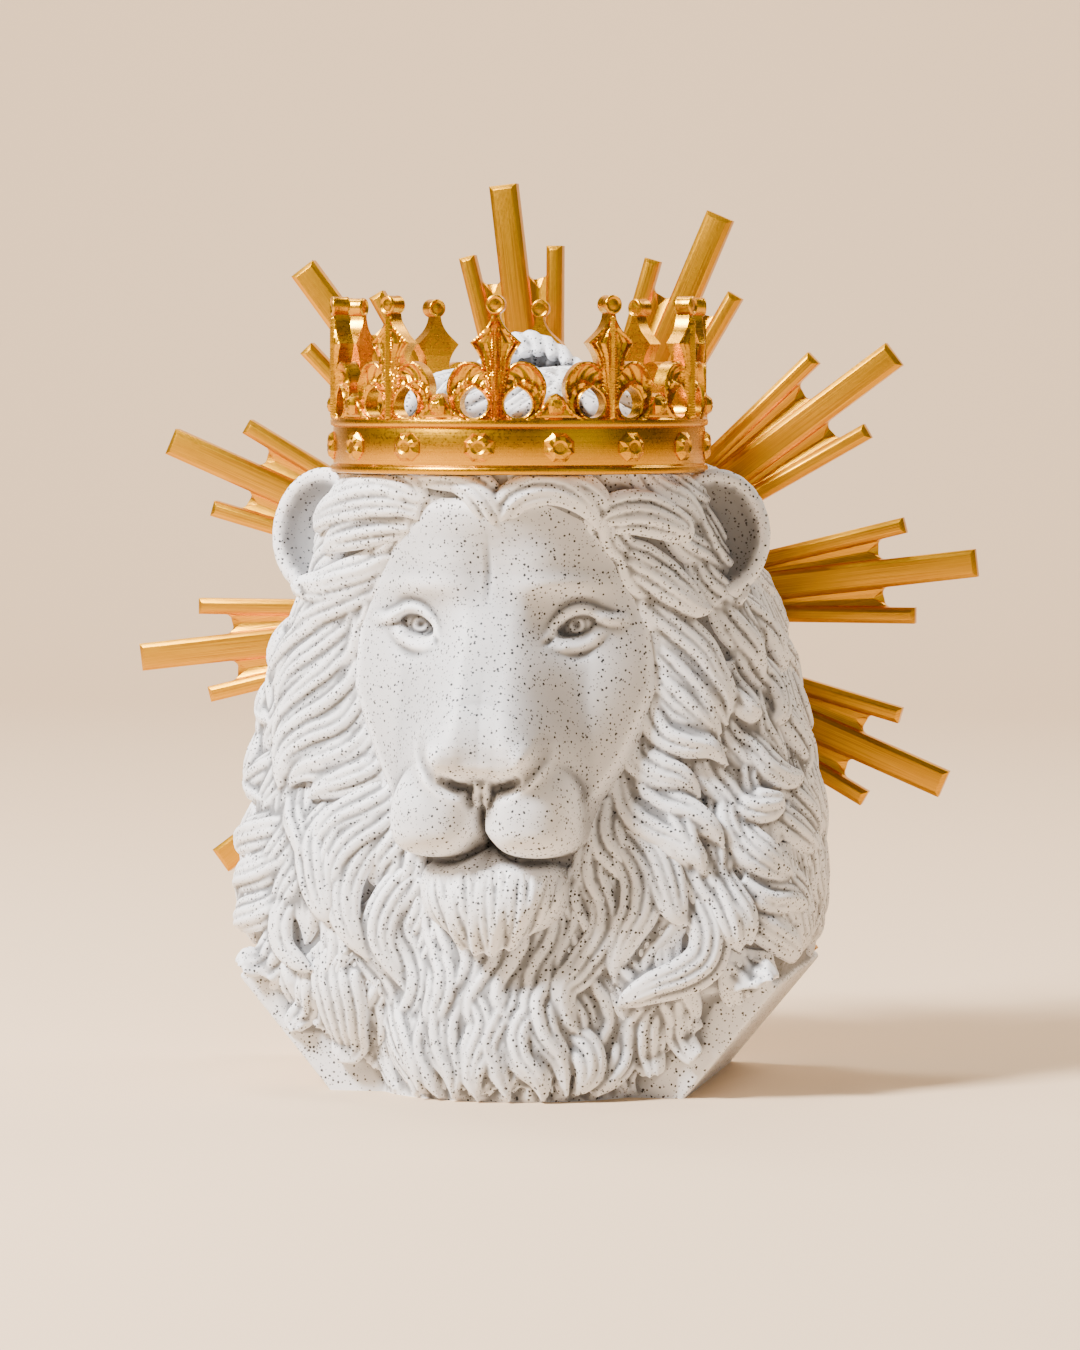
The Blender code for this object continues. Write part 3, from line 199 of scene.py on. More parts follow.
def stroke(x, z, points, width, height, taper=0.25, start=0.2):
    # a ridge or a groove along a curve, thinner at its ends
    line = smoothLine(points)
    nearest = np.full(x.shape, 1e9)
    where = np.zeros(x.shape)
    lengths = np.linalg.norm(np.diff(line, axis=0), axis=1)
    done = 0.0
    for (ax, az), (bx, bz), length in zip(line[:-1], line[1:], lengths):
        t = np.clip(((x - ax) * (bx - ax) + (z - az) * (bz - az)) / length ** 2, 0, 1)
        distance = np.hypot(x - ax - t * (bx - ax), z - az - t * (bz - az))
        closer = distance < nearest
        nearest = np.where(closer, distance, nearest)
        where = np.where(closer, (done + t * length) / lengths.sum(), where)
        done += length
    ends = np.clip(start + where / taper, 0, 1) * np.clip(start + (1 - where) / taper, 0, 1)
    return height * ends * np.clip(1 - (nearest / width) ** 2, 0, 1) ** 1.5


def eased(z, heights, values):
    # a value that changes with the height, without corners
    return sum(np.interp(z + shift, heights, values) for shift in (-5, -2.5, 0, 2.5, 5)) / 5


def faceDepth(x, z):
    # how far the face stands in front of the head's middle
    ax = np.abs(x + eased(z, [58, 74, 84, 94], [0.6, 1.9, 1.2, 0.0]))
    d = 12 + 31 * np.sqrt(np.clip(1 - (ax / 48) ** 2 - ((z - 114) / 66) ** 2, 0.0, 1))
    d += swell(ax, z, (0, 168), (48, 20), 22)
    d += swell(ax, z, (29, 107), (15, 22), 2.6)      # cheekbones
    d += swell(ax, z, (13, 147), (11, 8), 3.4)       # forehead
    d += swell(ax, z, (20, 141.5), (11, 3.6), 2.4)   # brows
    # bridge of the nose, broad and flat
    rise = eased(z, [78, 86, 94, 104, 112, 122, 132, 141, 150], [2, 8, 17, 19.3, 16.5, 13, 9.5, 4, 0])
    half = eased(z, [88, 98, 110, 122, 134, 148], [13.5, 13.0, 12.4, 12.6, 12.5, 16])
    d += rise * (1 - smoothStep(0.42, 2.1, ax / half))
    d -= swell(ax, z, (19.5, 130.5), (8, 7), 5.0)    # eye sockets
    # muzzle, its two lobes and the chin
    d += swell(ax, z, (14, 89), (13, 16), 12.0)
    lobeSide = np.where(ax > 12.2, 12.2 + 0.88 * (ax - 12.2), ax)
    lobeTop = np.where(z > 77, 77 + 0.56 * (z - 77), z)
    d = smoothMax(d, boss(lobeSide, lobeTop, (12.2, 77), (12.6, 10.0), 42.5, 18.6, 2.2, 2.6), 5.0)
    d = smoothMax(d, boss(ax, z, (0, 57.5), (20.5, 12.5), 36, 18.5, 2.4, 2.5), 2.5)
    # nose, nostrils and the groove below it
    noseHalf = 14.6 - 0.55 * np.clip(97 - z, 0, 12) - 0.4 * np.clip(z - 99, 0, 10)
    noseTop = np.where(z > 95, 95 + 0.36 * (z - 95), z)
    d = smoothMax(d, boss(ax / noseHalf, noseTop, (0, 95), (1, 5.6), 52.0, 12.6, 2.4, 3.0), 3.0)
    d += swell(ax, z, (12.6, 95.6), (3.0, 4.0), 2.0)
    d -= stroke(ax, z, [(3.7, 87.6), (6.4, 87.8), (9.6, 89.5)], 2.4, 5.5, 0.45, 0.5)
    underNose = [(0, 85.8), (5, 86.4), (9.6, 88.2), (13.4, 91.4), (16.4, 96), (17, 100)]
    d -= stroke(ax, z, underNose, 2.8, 2.6, 0.4, 0.2)
    d += stroke(ax, z, [(0, 88.5), (0, 85), (0, 81.5)], 3.2, 3.0, 0.4, 0.2)
    d -= stroke(ax, z, [(3.5, 88), (3.4, 84.6), (1.8, 81.2)], 1.5, 2.4)
    d -= stroke(ax, z, [(0, 81.0), (0, 76), (0, 72)], 1.7, 6.5, 0.2, 0.5)
    # mouth
    d -= swell(ax, z, (0, 69.8), (4.2, 3.4), 6.0)
    lip = [(0, 74), (2.2, 71), (6, 67.9), (12, 66.2), (19, 66.4), (26, 69.2)]
    d -= stroke(ax, z, lip, 2.3, 6.5, 0.12, 0.5)
    # eyelids, and the creases above and beside them
    upper = [(16.4, 128.4), (17.8, 131.4), (20.6, 134.0), (24.2, 134.9), (27.6, 133.7), (31, 132.4),
             (34.5, 132.2)]
    lower = [(16.8, 127.2), (19.2, 125.8), (22.6, 125.7), (26.2, 127.2), (29.4, 130.4)]
    d += stroke(ax, z, upper, 2.4, 2.9, 0.3, 0.2)
    d += stroke(ax, z, lower, 2.8, 2.0, 0.3, 0.2)
    d -= stroke(ax, z, [(17.0, 134.4), (19.6, 137.0), (24, 138.0), (29, 136.8)], 1.5, 0.7, 0.4, 0.0)
    d -= stroke(ax, z, [(19.4, 123.2), (23.6, 122.6), (28.0, 124.6)], 1.8, 0.5, 0.4, 0.0)
    d -= stroke(ax, z, [(17.0, 128.2), (15.8, 126.8), (14.8, 125.6)], 1.2, 1.0)
    # eyeball with its iris and pupil
    across = np.clip(1 - ((ax - 22) / 5.1) ** 2, 0, 1) ** 0.62
    tilted = z - 0.28 * (ax - 22)
    opening = smoothStep(-0.3, 0.3, np.minimum(130.4 + 2.9 * across - tilted, tilted - 130.4 + 2.7 * across))
    opening = opening * (np.abs(ax - 22) < 5.1)
    fromIris = np.hypot(ax - 21.8, z - 130.7)
    ball = 28.1 + np.sqrt(np.clip(8.5 ** 2 - fromIris ** 2, 0, None))
    ball -= 0.5 * np.exp(-((fromIris - 2.5) / 0.38) ** 2)
    ball -= 1.5 * np.exp(-(fromIris / 1.05) ** 2)
    d = d * (1 - opening) + ball * opening
    d -= stroke(x, z, [(-0.6, 154), (-0.3, 147), (-0.8, 136)], 1.5, 0.32, 0.4, 0.0)  # crease of the forehead
    heights, halves = np.array(head["faceEdge"]).T
    return d - 14 * smoothStep(-1.5, 5, ax - np.interp(z, heights, halves))


def faceBlock(step, lower):
    # the relief as a closed block; the head's own skin runs a little below the fine one
    xs = np.arange(-48, 48.01, step)
    zs = np.arange(42, 166.01, step)
    x, z = np.meshgrid(xs, zs)
    rows, columns = x.shape
    front = np.stack([x, lower - faceDepth(x, z), z], -1).reshape(-1, 3)
    back = np.stack([x, np.full(x.shape, -4.0), z], -1).reshape(-1, 3)
    index = np.arange(rows * columns).reshape(rows, columns)
    quads = np.stack([index[:-1, :-1], index[:-1, 1:], index[1:, 1:], index[1:, :-1]], -1).reshape(-1, 4)
    edge = np.r_[index[0, :-1], index[:-1, -1], index[-1, :0:-1], index[:0:-1, 0]]
    behind = np.arange(len(edge)) + rows * columns
    sides = np.stack([np.roll(edge, -1), edge, behind, np.roll(behind, -1)], -1)
    faces = quads.tolist() + sides.tolist() + [behind[::-1].tolist()]
    return meshFrom("lionFace", np.vstack([front, back[edge]]) * mm, faces)


def maneBlock(bm):
    # the mane's levels joined up
    count = 48
    rings = []
    for z, half, front, back, square in head["levels"]:
        ring = []
        for i in range(count):
            angle = 2 * math.pi * i / count
            s = math.copysign(abs(math.sin(angle)) ** (2 / square), math.sin(angle))
            c = math.copysign(abs(math.cos(angle)) ** (2 / square), math.cos(angle))
            reach = head["middleY"] - front if c > 0 else back - head["middleY"]
            if c <= 0:
                s = math.copysign(abs(math.sin(angle)) ** 0.3, math.sin(angle))
            ring.append(bm.verts.new(Vector((half * s, head["middleY"] - reach * c, z)) * mm))
        rings.append(ring)
    for low, high in zip(rings, rings[1:]):
        for i in range(count):
            j = (i + 1) % count
            bm.faces.new((low[i], low[j], high[j], high[i]))
    bm.faces.new(reversed(rings[0]))
    bm.faces.new(rings[-1])


def remeshed(bm, voxel, smooth):
    # one skin over everything that overlaps
    mesh = bpy.data.meshes.new("rough")
    bm.to_mesh(mesh)
    bm.free()
    obj = addObject("rough", mesh)
    skin = obj.modifiers.new("skin", "REMESH")
    skin.mode = "VOXEL"
    skin.voxel_size = voxel * mm
    soft = obj.modifiers.new("soft", "SMOOTH")
    soft.factor = 0.5
    soft.iterations = smooth
    return finalMesh(obj)


def underForm():
    # the head without its face and hair
    bm = bmesh.new()
    maneBlock(bm)
    for centre, radii in head["masses"]:
        matrix = Matrix.Translation(Vector(centre) * mm) @ Matrix.Diagonal((*(Vector(radii) * mm), 1))
        bmesh.ops.create_icosphere(bm, subdivisions=4, radius=1, matrix=matrix)
    return remeshed(bm, head["underVoxel"], 8)


def addSlab(bm):
    # the block the head stands on, with its slanting lower corners
    half = head["slabHalf"]
    outline = ((half, -4), (half, 0), head["slantTop"], (70, 36), (-70, 36),
               (-head["slantTop"][0], head["slantTop"][1]), (-half, 0), (-half, -4))
    front = [bm.verts.new(Vector((x, head["slabFront"], z)) * mm) for x, z in outline]
    back = [bm.verts.new(Vector((x, head["backY"] + 4, z)) * mm) for x, z in outline]
    bm.faces.new(front)
    bm.faces.new(reversed(back))
    for i in range(len(front)):
        j = (i + 1) % len(front)
        bm.faces.new((front[j], front[i], back[i], back[j]))


# Hair. A lock is a middle line over the skin with strands lying side by side on it.

hair = {
    # rows round the face: distance behind its edge, lift, length, width and downward pull
    "rows": ((96, 2.0, 36, 15.0, 0.75), (80, 2.5, 38, 15.0, 0.75), (63, 3.0, 40, 15.0, 0.70),
             (46, 2.6, 40, 14.0, 0.80), (29, 1.4, 36, 12.0, 1.10), (14, 1.2, 34, 11.0, 1.30),
             (-1, 1.0, 32, 10.0, 1.40),
             (108, 1.2, 42, 18.0, 1.3), (88, 1.0, 42, 19.0, 1.3), (71, 1.0, 42, 19.0, 1.3),
             (55, 1.0, 42, 18.0, 1.3)),
    "nearRows": 40,  # rows that start nearer than this to the face hang down more and wave less
    # the strands: width, height to width, and the grid of their joined skin; the traced locks are made
    # a little wider and lower than they were measured
    "strandWidth": 2.9, "tall": 1.25, "chinStrands": 19, "wider": 1.22, "lower": 0.8, "voxel": 0.55,
    "soften": 1, "triangles": 186000,
    # angle and top of the low locks that fill the beard
    "fillers": ((-50, 40), (-43, 52), (-35, 60), (-27, 60), (-19, 60), (-11, 60), (-3, 60), (5, 60), (13, 60),
                (21, 60), (29, 60), (37, 60), (44, 50), (51, 38)),
    # locks on the front and the sides: width and lift, then places as the angle in degrees round
    # the mane's middle, 0 in front, and the height
    "locks": (
        (9.5, 7.0, (-17.2, 163.6), (-23.7, 166.1), (-33.3, 165.9), (-46.4, 162.5), (-60.5, 157.8),
         (-64.9, 153.9)),
        (6.7, 6.0, (-21.7, 157.6), (-30.3, 157.9), (-41.5, 155.5), (-50.6, 152.8), (-58.2, 149.2)),
        (8.4, 7.0, (-29.2, 151.2), (-38.2, 146.7), (-47, 143.4), (-56.5, 140), (-64.8, 138.6),
         (-61.2, 134.2)),
        (7.3, 5.0, (-40.9, 138.4), (-50.3, 134.1), (-60.3, 128.7), (-70.1, 121.9), (-78.1, 114.4),
         (-77, 107.8), (-75, 101.2)),
        (8.4, 6.0, (-46.3, 130), (-49.8, 123.8), (-54.2, 117.8), (-59.4, 112.9), (-65, 107.3),
         (-69, 100.8), (-69.7, 94)),
        (9.0, 6.5, (-45.8, 115.6), (-47.3, 108.9), (-51.6, 102.2), (-57.8, 98.4), (-62.6, 93.8),
         (-64.3, 87.8), (-63.8, 82.4)),
        (8.4, 6.0, (-44.3, 106.4), (-44, 99.3), (-47.4, 94.2), (-53, 90.9), (-58.7, 88.4), (-62.3, 83.7)),
        (8.4, 6.0, (-39.7, 96.2), (-41.7, 91.2), (-46.8, 87.6), (-52.2, 84.4), (-56.2, 80.5)),
        (5.6, 5.0, (-69.1, 142), (-71.1, 142.6), (-73, 141.9), (-71.3, 139.6)),
        (7.8, 6.0, (-66.7, 132.1), (-81, 127.3), (-80.6, 122.1), (-81.1, 117.2), (-82.5, 113.5)),
        (7.8, 6.0, (-70.4, 117.5), (-81.8, 111.7), (-81.4, 107.1), (-81.8, 102.6), (-72.4, 100.9)),
        (7.3, 6.0, (-72, 104), (-81.5, 97.6), (-80.5, 91.1), (-81.5, 85.2), (-80.5, 81.2)),
        (9.5, 7.0, (-42.8, 82.6), (-49.3, 76.8), (-51.1, 69.7), (-49.5, 63.2), (-48.2, 56.9),
         (-46.3, 50.6), (-45.3, 47)),
        (9.0, 6.5, (-34.1, 77.3), (-39.9, 68.6), (-42.8, 59.7), (-42.5, 51.7), (-40.2, 44.3),
         (-37.1, 37.8)),
        (8.4, 6.0, (-24.7, 63.7), (-30.1, 58.7), (-33.9, 50.6), (-34.3, 42.8), (-30.6, 35.4),
         (-24.5, 27.7)),
        (5.6, 6.0, (-62.7, 83.2), (-58.9, 75.9), (-54.3, 68.9), (-52.3, 62.3)),
        (5.6, 6.0, (-52.7, 59.9), (-55.2, 53), (-56, 47), (-55.1, 40.7), (-51.6, 36.1), (-48.9, 34.3)),
        (5.0, 5.0, (-56.7, 38), (-59, 31.9), (-58, 26.1), (-56.2, 22.1)),
        (6.2, 5.5, (-52.1, 34.4), (-51.7, 29.2), (-55.4, 20.5), (-54.5, 14.7), (-53.1, 13.1)),
        (11.8, 7.0, (-44.5, 41.6), (-45.1, 34.2), (-44.3, 28.5), (-45.1, 21.1), (-47.1, 12.7),
         (-46.8, 6.9)),
        (9.0, 6.0, (-34.8, 31.5), (-29.7, 23.6), (-25, 16.5), (-21.4, 9.6), (-20.1, 1.6)),
        (8.4, 5.5, (-14, 37.9), (-11.2, 31), (-14.2, 22.9), (-13.3, 14.9), (-10.6, 7.9), (-10.7, 0.7)),
        (8.4, 5.0, (-59.2, 74.4), (-64.8, 71.5), (-77.4, 67.1), (-76.3, 63.3)),
        (8.4, 5.0, (-58, 66.7), (-63.5, 60.5), (-74.5, 56.2), (-73.4, 51.2)),
        (8.4, 5.0, (-57.3, 54.5), (-61.7, 49.2), (-72.9, 46.1), (-72.2, 44.1)),
        (7.3, 5.0, (-57.5, 45.2), (-60.5, 36), (-61, 34.3)),
        (9.5, 7.0, (27, 156.8), (30.7, 161.2), (38.1, 161.8), (45.1, 159.4), (51.9, 155.9), (50.5, 153)),
        (8.4, 7.0, (33.4, 148.7), (38.8, 149.4), (45.2, 145.6), (51.5, 140.1), (56.8, 135.6),
         (61.4, 134.1)),
        (9.0, 6.0, (40.2, 140.9), (45.5, 134.9), (51.9, 129.1), (57.3, 123.3), (60.7, 116.4),
         (63.8, 109.7), (63.6, 103.8)),
        (7.3, 6.0, (45.5, 130.8), (49.1, 123.9), (53.2, 118.1), (57.1, 113), (60.4, 107.4), (63.5, 102.1)),
        (7.3, 6.5, (47.7, 113.9), (47.1, 107.4), (49.4, 101), (53.8, 97.9), (58.6, 96.1), (62, 91)),
        (7.8, 6.0, (42.5, 100.3), (42.9, 93.8), (46.8, 89.6), (51.7, 87.1), (55.3, 82.3)),
        (9.0, 6.0, (30, 76.7), (36.7, 69.8), (40.2, 62.1), (39.8, 53.2), (36.9, 46.5), (34.7, 39.2),
         (34.2, 32.9)),
        (9.0, 6.0, (25.1, 64.4), (30.5, 58.1), (32.5, 50.9), (30.3, 43.2), (23.8, 36), (18.9, 31.3),
         (19.9, 23.4), (24.5, 16.9)),
        (9.5, 6.5, (41.3, 84.2), (46.3, 77.3), (48.8, 70), (49.8, 63.8)),
        (8.4, 6.5, (38.2, 75.8), (43.1, 68.7), (45.1, 60.4), (46.4, 52.4), (48.9, 48.3)),
        (9.5, 7.5, (49.8, 61), (51.7, 53.8), (52.8, 46.6), (51.8, 39.4), (47.8, 35), (42.5, 32.3),
         (37.8, 29.6), (35.2, 27.1)),
        (8.4, 6.0, (55.4, 64.1), (57.1, 56), (59.1, 49.6), (60.2, 43)),
        (7.3, 6.0, (63.1, 85.3), (65.1, 80.4), (69.5, 79.7), (73.4, 82.7)),
        (9.0, 5.0, (60.6, 77.9), (62.5, 69.8), (66.5, 64.4), (72.8, 60)),
        (7.8, 5.0, (60.5, 60.7), (64.9, 55.6), (71.4, 54.4), (79.4, 50.4)),
        (8.4, 5.5, (60.6, 51), (64.8, 46.6), (71.7, 41), (74.6, 36.5)),
        (6.7, 5.5, (57.7, 41.4), (60.4, 35.7), (61.8, 32.5), (69.3, 31.7)),
        (6.7, 5.5, (54.5, 40.7), (58.5, 33.9), (58.5, 27.4), (56.4, 23.2)),
        (6.2, 6.0, (47.6, 29.5), (49, 23), (52.4, 14.4), (54.5, 13.7)),
        (8.4, 6.5, (44.3, 29.2), (43.1, 22.1), (45, 12.2), (45.9, 5.6)),
        (7.8, 6.0, (35.9, 27.2), (38.8, 20.8), (35.5, 11.4), (31.1, 6.2), (27.7, 1.6)),
        (7.8, 5.5, (18.4, 18.7), (23.9, 15.3), (25.5, 8.9), (22.3, 1.8)),
        (9.0, 5.5, (10, 36.2), (10.9, 28.3), (7, 20.4), (7.8, 13.2), (12.3, 6.9), (13.8, 0.4)),
        (7.3, 4.5, (2.1, 156), (3.5, 161.2), (6.9, 166), (12.5, 167.9), (18.8, 166.6), (24.2, 162.5),
         (28, 156.6)),
        (5.6, 4.0, (5, 170.1), (9.6, 170.9), (17.2, 170.8), (23.7, 169), (28.1, 165.1), (29.7, 160.2)),
        (6.2, 4.5, (2, 156), (1, 161), (-1.4, 165.8), (-4.9, 168.5), (-10.7, 169.2)),
        (6.2, 4.0, (1.9, 165.2), (-1, 168.8), (-5.9, 170.8), (-12.6, 170.9), (-18.2, 169.9)),
        (6.7, 5.0, (-17.3, 164), (-20.3, 168.4), (-28.7, 169.8), (-42.4, 169.2), (-61.9, 167.6)),
        (7.3, 5.5, (-32.9, 146.1), (-42.2, 140.9), (-50.6, 137.1), (-58.5, 133.6), (-65.8, 129.7),
         (-73, 125.6)),
        (7.8, 5.5, (-43.6, 134.4), (-51.5, 127.4), (-59.2, 120.8), (-65.8, 115.4), (-69.8, 109.3),
         (-70.6, 102.9)),
        (7.8, 6.0, (-46.9, 123.3), (-48.5, 115), (-53.2, 109), (-59.5, 103.5), (-64.6, 98.1),
         (-66.2, 92.3), (-65.8, 85.6)),
        (6.7, 5.0, (-66.6, 92.4), (-72.9, 87.9), (-78.4, 82.6), (-67.6, 78.6)),
        (7.3, 4.5, (-81.7, 110.8), (-82.5, 104.5), (-81.5, 99.1), (-81.3, 93.7)),
        (7.3, 4.5, (-81.5, 95.5), (-80.3, 89.5), (-81.1, 83.2), (-79.4, 78.1)),
        (7.8, 6.0, (-35.9, 91), (-37, 84), (-41.4, 79.3), (-46.6, 75.3), (-49.5, 70.5), (-49.9, 65.2)),
        (7.8, 6.0, (-33.7, 84.6), (-37.6, 77.6), (-42.3, 72.3), (-45.4, 66.5), (-46.2, 59.3),
         (-45.3, 52.9)),
        (7.3, 5.0, (-23, 29.6), (-19.3, 22.6), (-20.1, 15.2), (-18, 8.1), (-15.1, 0.5)),
        (8.4, 5.5, (-8.7, 36.7), (-4.7, 28.8), (-1.8, 21.6), (-4.5, 13.4), (-5.3, 7), (-3.6, 0.2)),
        (8.4, 5.5, (2.3, 38.8), (4.7, 30.8), (2.6, 23.5), (-0.1, 16.3), (1.7, 9), (4.8, 0.4)),
        (7.3, 5.0, (-22.2, 42.6), (-15.7, 36.4), (-14.4, 30.1), (-16.2, 22.8), (-14, 15.6)),
        (7.8, 5.5, (16.9, 42.3), (14.8, 33.4), (12, 27.2), (13.7, 19.1), (18.1, 11.7), (19.8, 1.7)),
        (7.3, 5.5, (54, 64.4), (55.9, 55.2), (57, 47.3), (58, 41.2)),
        (7.8, 6.0, (43.1, 94.1), (43.4, 86.1), (47.3, 80.5), (52.3, 77.5), (55.5, 73.7), (57.3, 68.3)),
        (7.8, 6.0, (39.1, 88.6), (40.5, 80.5), (44.3, 75.3), (48.6, 71.7), (51.7, 66.5), (52.5, 61.7)),
        (7.8, 6.0, (47.4, 123.6), (50.4, 115.8), (54.2, 110), (58, 104.1), (61.3, 98.1)),
        (6.7, 5.5, (47.3, 117.8), (48.2, 110.3), (52.1, 104.8), (57.1, 101.2), (62.1, 95.3)),
        (7.3, 5.0, (65.4, 137.8), (70.9, 128.4), (73.8, 121.7), (75.1, 114.1)),
        (7.3, 5.0, (73.8, 121.7), (79, 113.8), (78.9, 106.3), (75, 101.9)),
        (7.3, 5.0, (65.4, 101.7), (68.8, 95.8), (71.6, 90), (76.8, 86.8), (84.8, 87.5)),
        (7.3, 4.5, (78.8, 109.1), (84, 100.4), (88, 92.5), (85.8, 87)),
        (6.7, 5.5, (63.3, 116), (66.9, 110.1), (69.3, 106.1), (71.8, 104.5)),
        (7.3, 4.5, (69.3, 140.3), (81.8, 130.4), (85.7, 122.8), (89.2, 115.1)),
        (7.3, 4.5, (69.9, 80.6), (73.9, 74.5), (80, 69.3), (95.2, 62.5)),
        (7.3, 4.5, (77.1, 85.9), (81.4, 80.1), (87.8, 73.8), (92.1, 68.6)),
        (7.3, 4.0, (-74.2, 153.9), (-73.1, 148.7), (-71.8, 143.9), (-69.5, 141.2)),
    )
}


class Skin:
    # the surface that the hair lies on
    def __init__(self, bm):
        self.tree = BVHTree.FromBMesh(bm)

    def fromFront(self, x, z):
        return self.tree.ray_cast(Vector((x, -400, z)) * mm, Vector((0, 1, 0)))[:2]

    def around(self, angle, z):
        turn = math.radians(angle)
        outward = Vector((math.sin(turn), -math.cos(turn), 0))
        middle = Vector((0, head["middleY"], z)) * mm
        return self.tree.ray_cast(middle + outward * 0.3, -outward)[:2]

    def nearest(self, point):
        return self.tree.find_nearest(point)[:2]


def walk(skin, place, normal, length, pull, wave=0.0, phase=0.0, curl=0.0, side=1):
    # back over the skin and down, in a wave
    step = 2.0 * mm
    count = max(int(length / 2.0), 6)
    line = [(place, normal)]
    for i in range(count):
        t = i / count
        outward = Vector((place.x, 45 * mm, (place.z - 100 * mm) * 0.6))
        outward -= normal * outward.dot(normal)
        heading = outward.normalized() + Vector((0, 0, -pull))
        heading -= normal * heading.dot(normal)
        heading.normalize()
        turn = wave * math.sin(2 * math.pi * (t * 1.15 + phase)) + curl * max(t - 0.6, 0) / 0.4
        heading.rotate(Matrix.Rotation(-side * turn, 3, normal))
        place, normal = skin.nearest(place + heading * step)
        line.append((place, normal))
    return line


def traced(skin, points):
    found = [skin.around(angle, z) for angle, z in smoothLine(points, 6)]
    return [pair for pair in found if pair[0]]


class HairLines:
    # flat cores, which the head's own skin takes in, and the strands that lie on them
    def __init__(self):
        self.cores = ([], [])
        names = ("maneLeft", "maneRight", "sideLeft", "sideRight", "beard", "crest")
        self.strands = {name: [] for name in names}


def addCore(cores, points, sides, widths, heights, normals, ring=8):
    verts, faces = cores
    first = len(verts)
    count = len(points)
    for i in range(count):
        for k in range(ring):
            angle = 2 * math.pi * k / ring
            offset = sides[i] * (math.cos(angle) * widths[i]) + normals[i] * (math.sin(angle) * heights[i])
            verts.append(points[i] + offset)
    for i in range(count - 1):
        for k in range(ring):
            a = first + i * ring + k
            b = first + i * ring + (k + 1) % ring
            faces.append((a, b, b + ring, a + ring))
    faces.append([first + k for k in reversed(range(ring))])
    faces.append([first + (count - 1) * ring + k for k in range(ring)])


def addLock(lines, part, line, width, lift, seed, tip=0.1, root=0.0):
    rng = random.Random(seed)
    strands = max(3, int(round(width / hair["strandWidth"])))
    count = len(line)
    places = [p for p, _ in line]
    normals = [n for _, n in line]
    for _ in range(4):  # softened, so that a lock doesn't follow every bump
        normals = [(normals[max(i - 1, 0)] + normals[i] * 2 + normals[min(i + 1, count - 1)]).normalized()
                   for i in range(count)]
    sides = []
    for i in range(count):
        along = places[min(i + 1, count - 1)] - places[max(i - 1, 0)]
        sides.append(normals[i].cross(along).normalized())
    steps = [i / (count - 1) for i in range(count)]
    spread = [min(0.72 + t, 1.0) * (1 - (1 - tip) * max((t - 0.45) / 0.55, 0) ** 1.5) for t in steps]
    rise = [root + (lift - root) * math.sin(math.pi * min(t / 0.9, 1) * 0.5) for t in steps]
    core = [places[i] + normals[i] * (rise[i] - 2.6) * mm for i in range(count)]
    addCore(lines.cores, core, sides, [width * 0.46 * s * mm for s in spread],
            [3.0 * mm * (0.5 + 0.5 * s) for s in spread], normals)
    for j in range(strands):
        u = -1 + 2 * (j + 0.5) / strands
        radius = width / strands * 0.66 * rng.uniform(0.86, 1.16)
        end = 1 - 0.06 * u * u - rng.uniform(0, 0.03)
        last = max(int(round(end * (count - 1))), 4)
        shift = rng.uniform(-0.25, 0.25) * radius
        higher = rng.uniform(-0.35, 0.35)
        points = []
        radii = []
        for i in range(last + 1):
            t = i / last
            sideways = (u * width * 0.5 * spread[i] + shift * math.sin(3.0 * t + j)) * mm
            up = (rise[i] + 2.2 * (1 - u * u) * spread[i] - 1.8 + higher) * mm
            points.append(places[i] + sides[i] * sideways + normals[i] * up)
            radii.append(radius * (0.55 + 0.45 * spread[i]) * (1 - 0.7 * max((t - 0.75) / 0.25, 0) ** 2) * mm)
        lines.strands[part].append((points, radii, normals[:last + 1]))


def addStrand(lines, part, points, radii):
    # a strand through free points
    count = len(points)
    points = [Vector(p) * mm for p in points]
    normals = []
    for i in range(count):
        along = (points[min(i + 1, count - 1)] - points[max(i - 1, 0)]).normalized()
        side = along.cross(Vector((0, 1, 0.01))).normalized()
        normals.append(along.cross(side))
    lines.strands[part].append((points, [r * mm for r in radii], normals))


def edgePoints(spacing):
    line = np.array([(x, z) for z, x in reversed(head["faceEdge"]) if z > 48], float)
    lengths = np.r_[0, np.cumsum(np.linalg.norm(np.diff(line, axis=0), axis=1))]
    wanted = np.linspace(0, lengths[-1], int(lengths[-1] / spacing) + 1)
    return [(np.interp(s, lengths, line[:, 0]), np.interp(s, lengths, line[:, 1])) for s in wanted]


def clearOfSlab(place, spare):
    # hair stays above the slanting lower corners
    x = abs(place.x) / mm
    z = place.z / mm - spare
    return z > 9 and x < 50 + 26 * z / 31.5 - 5


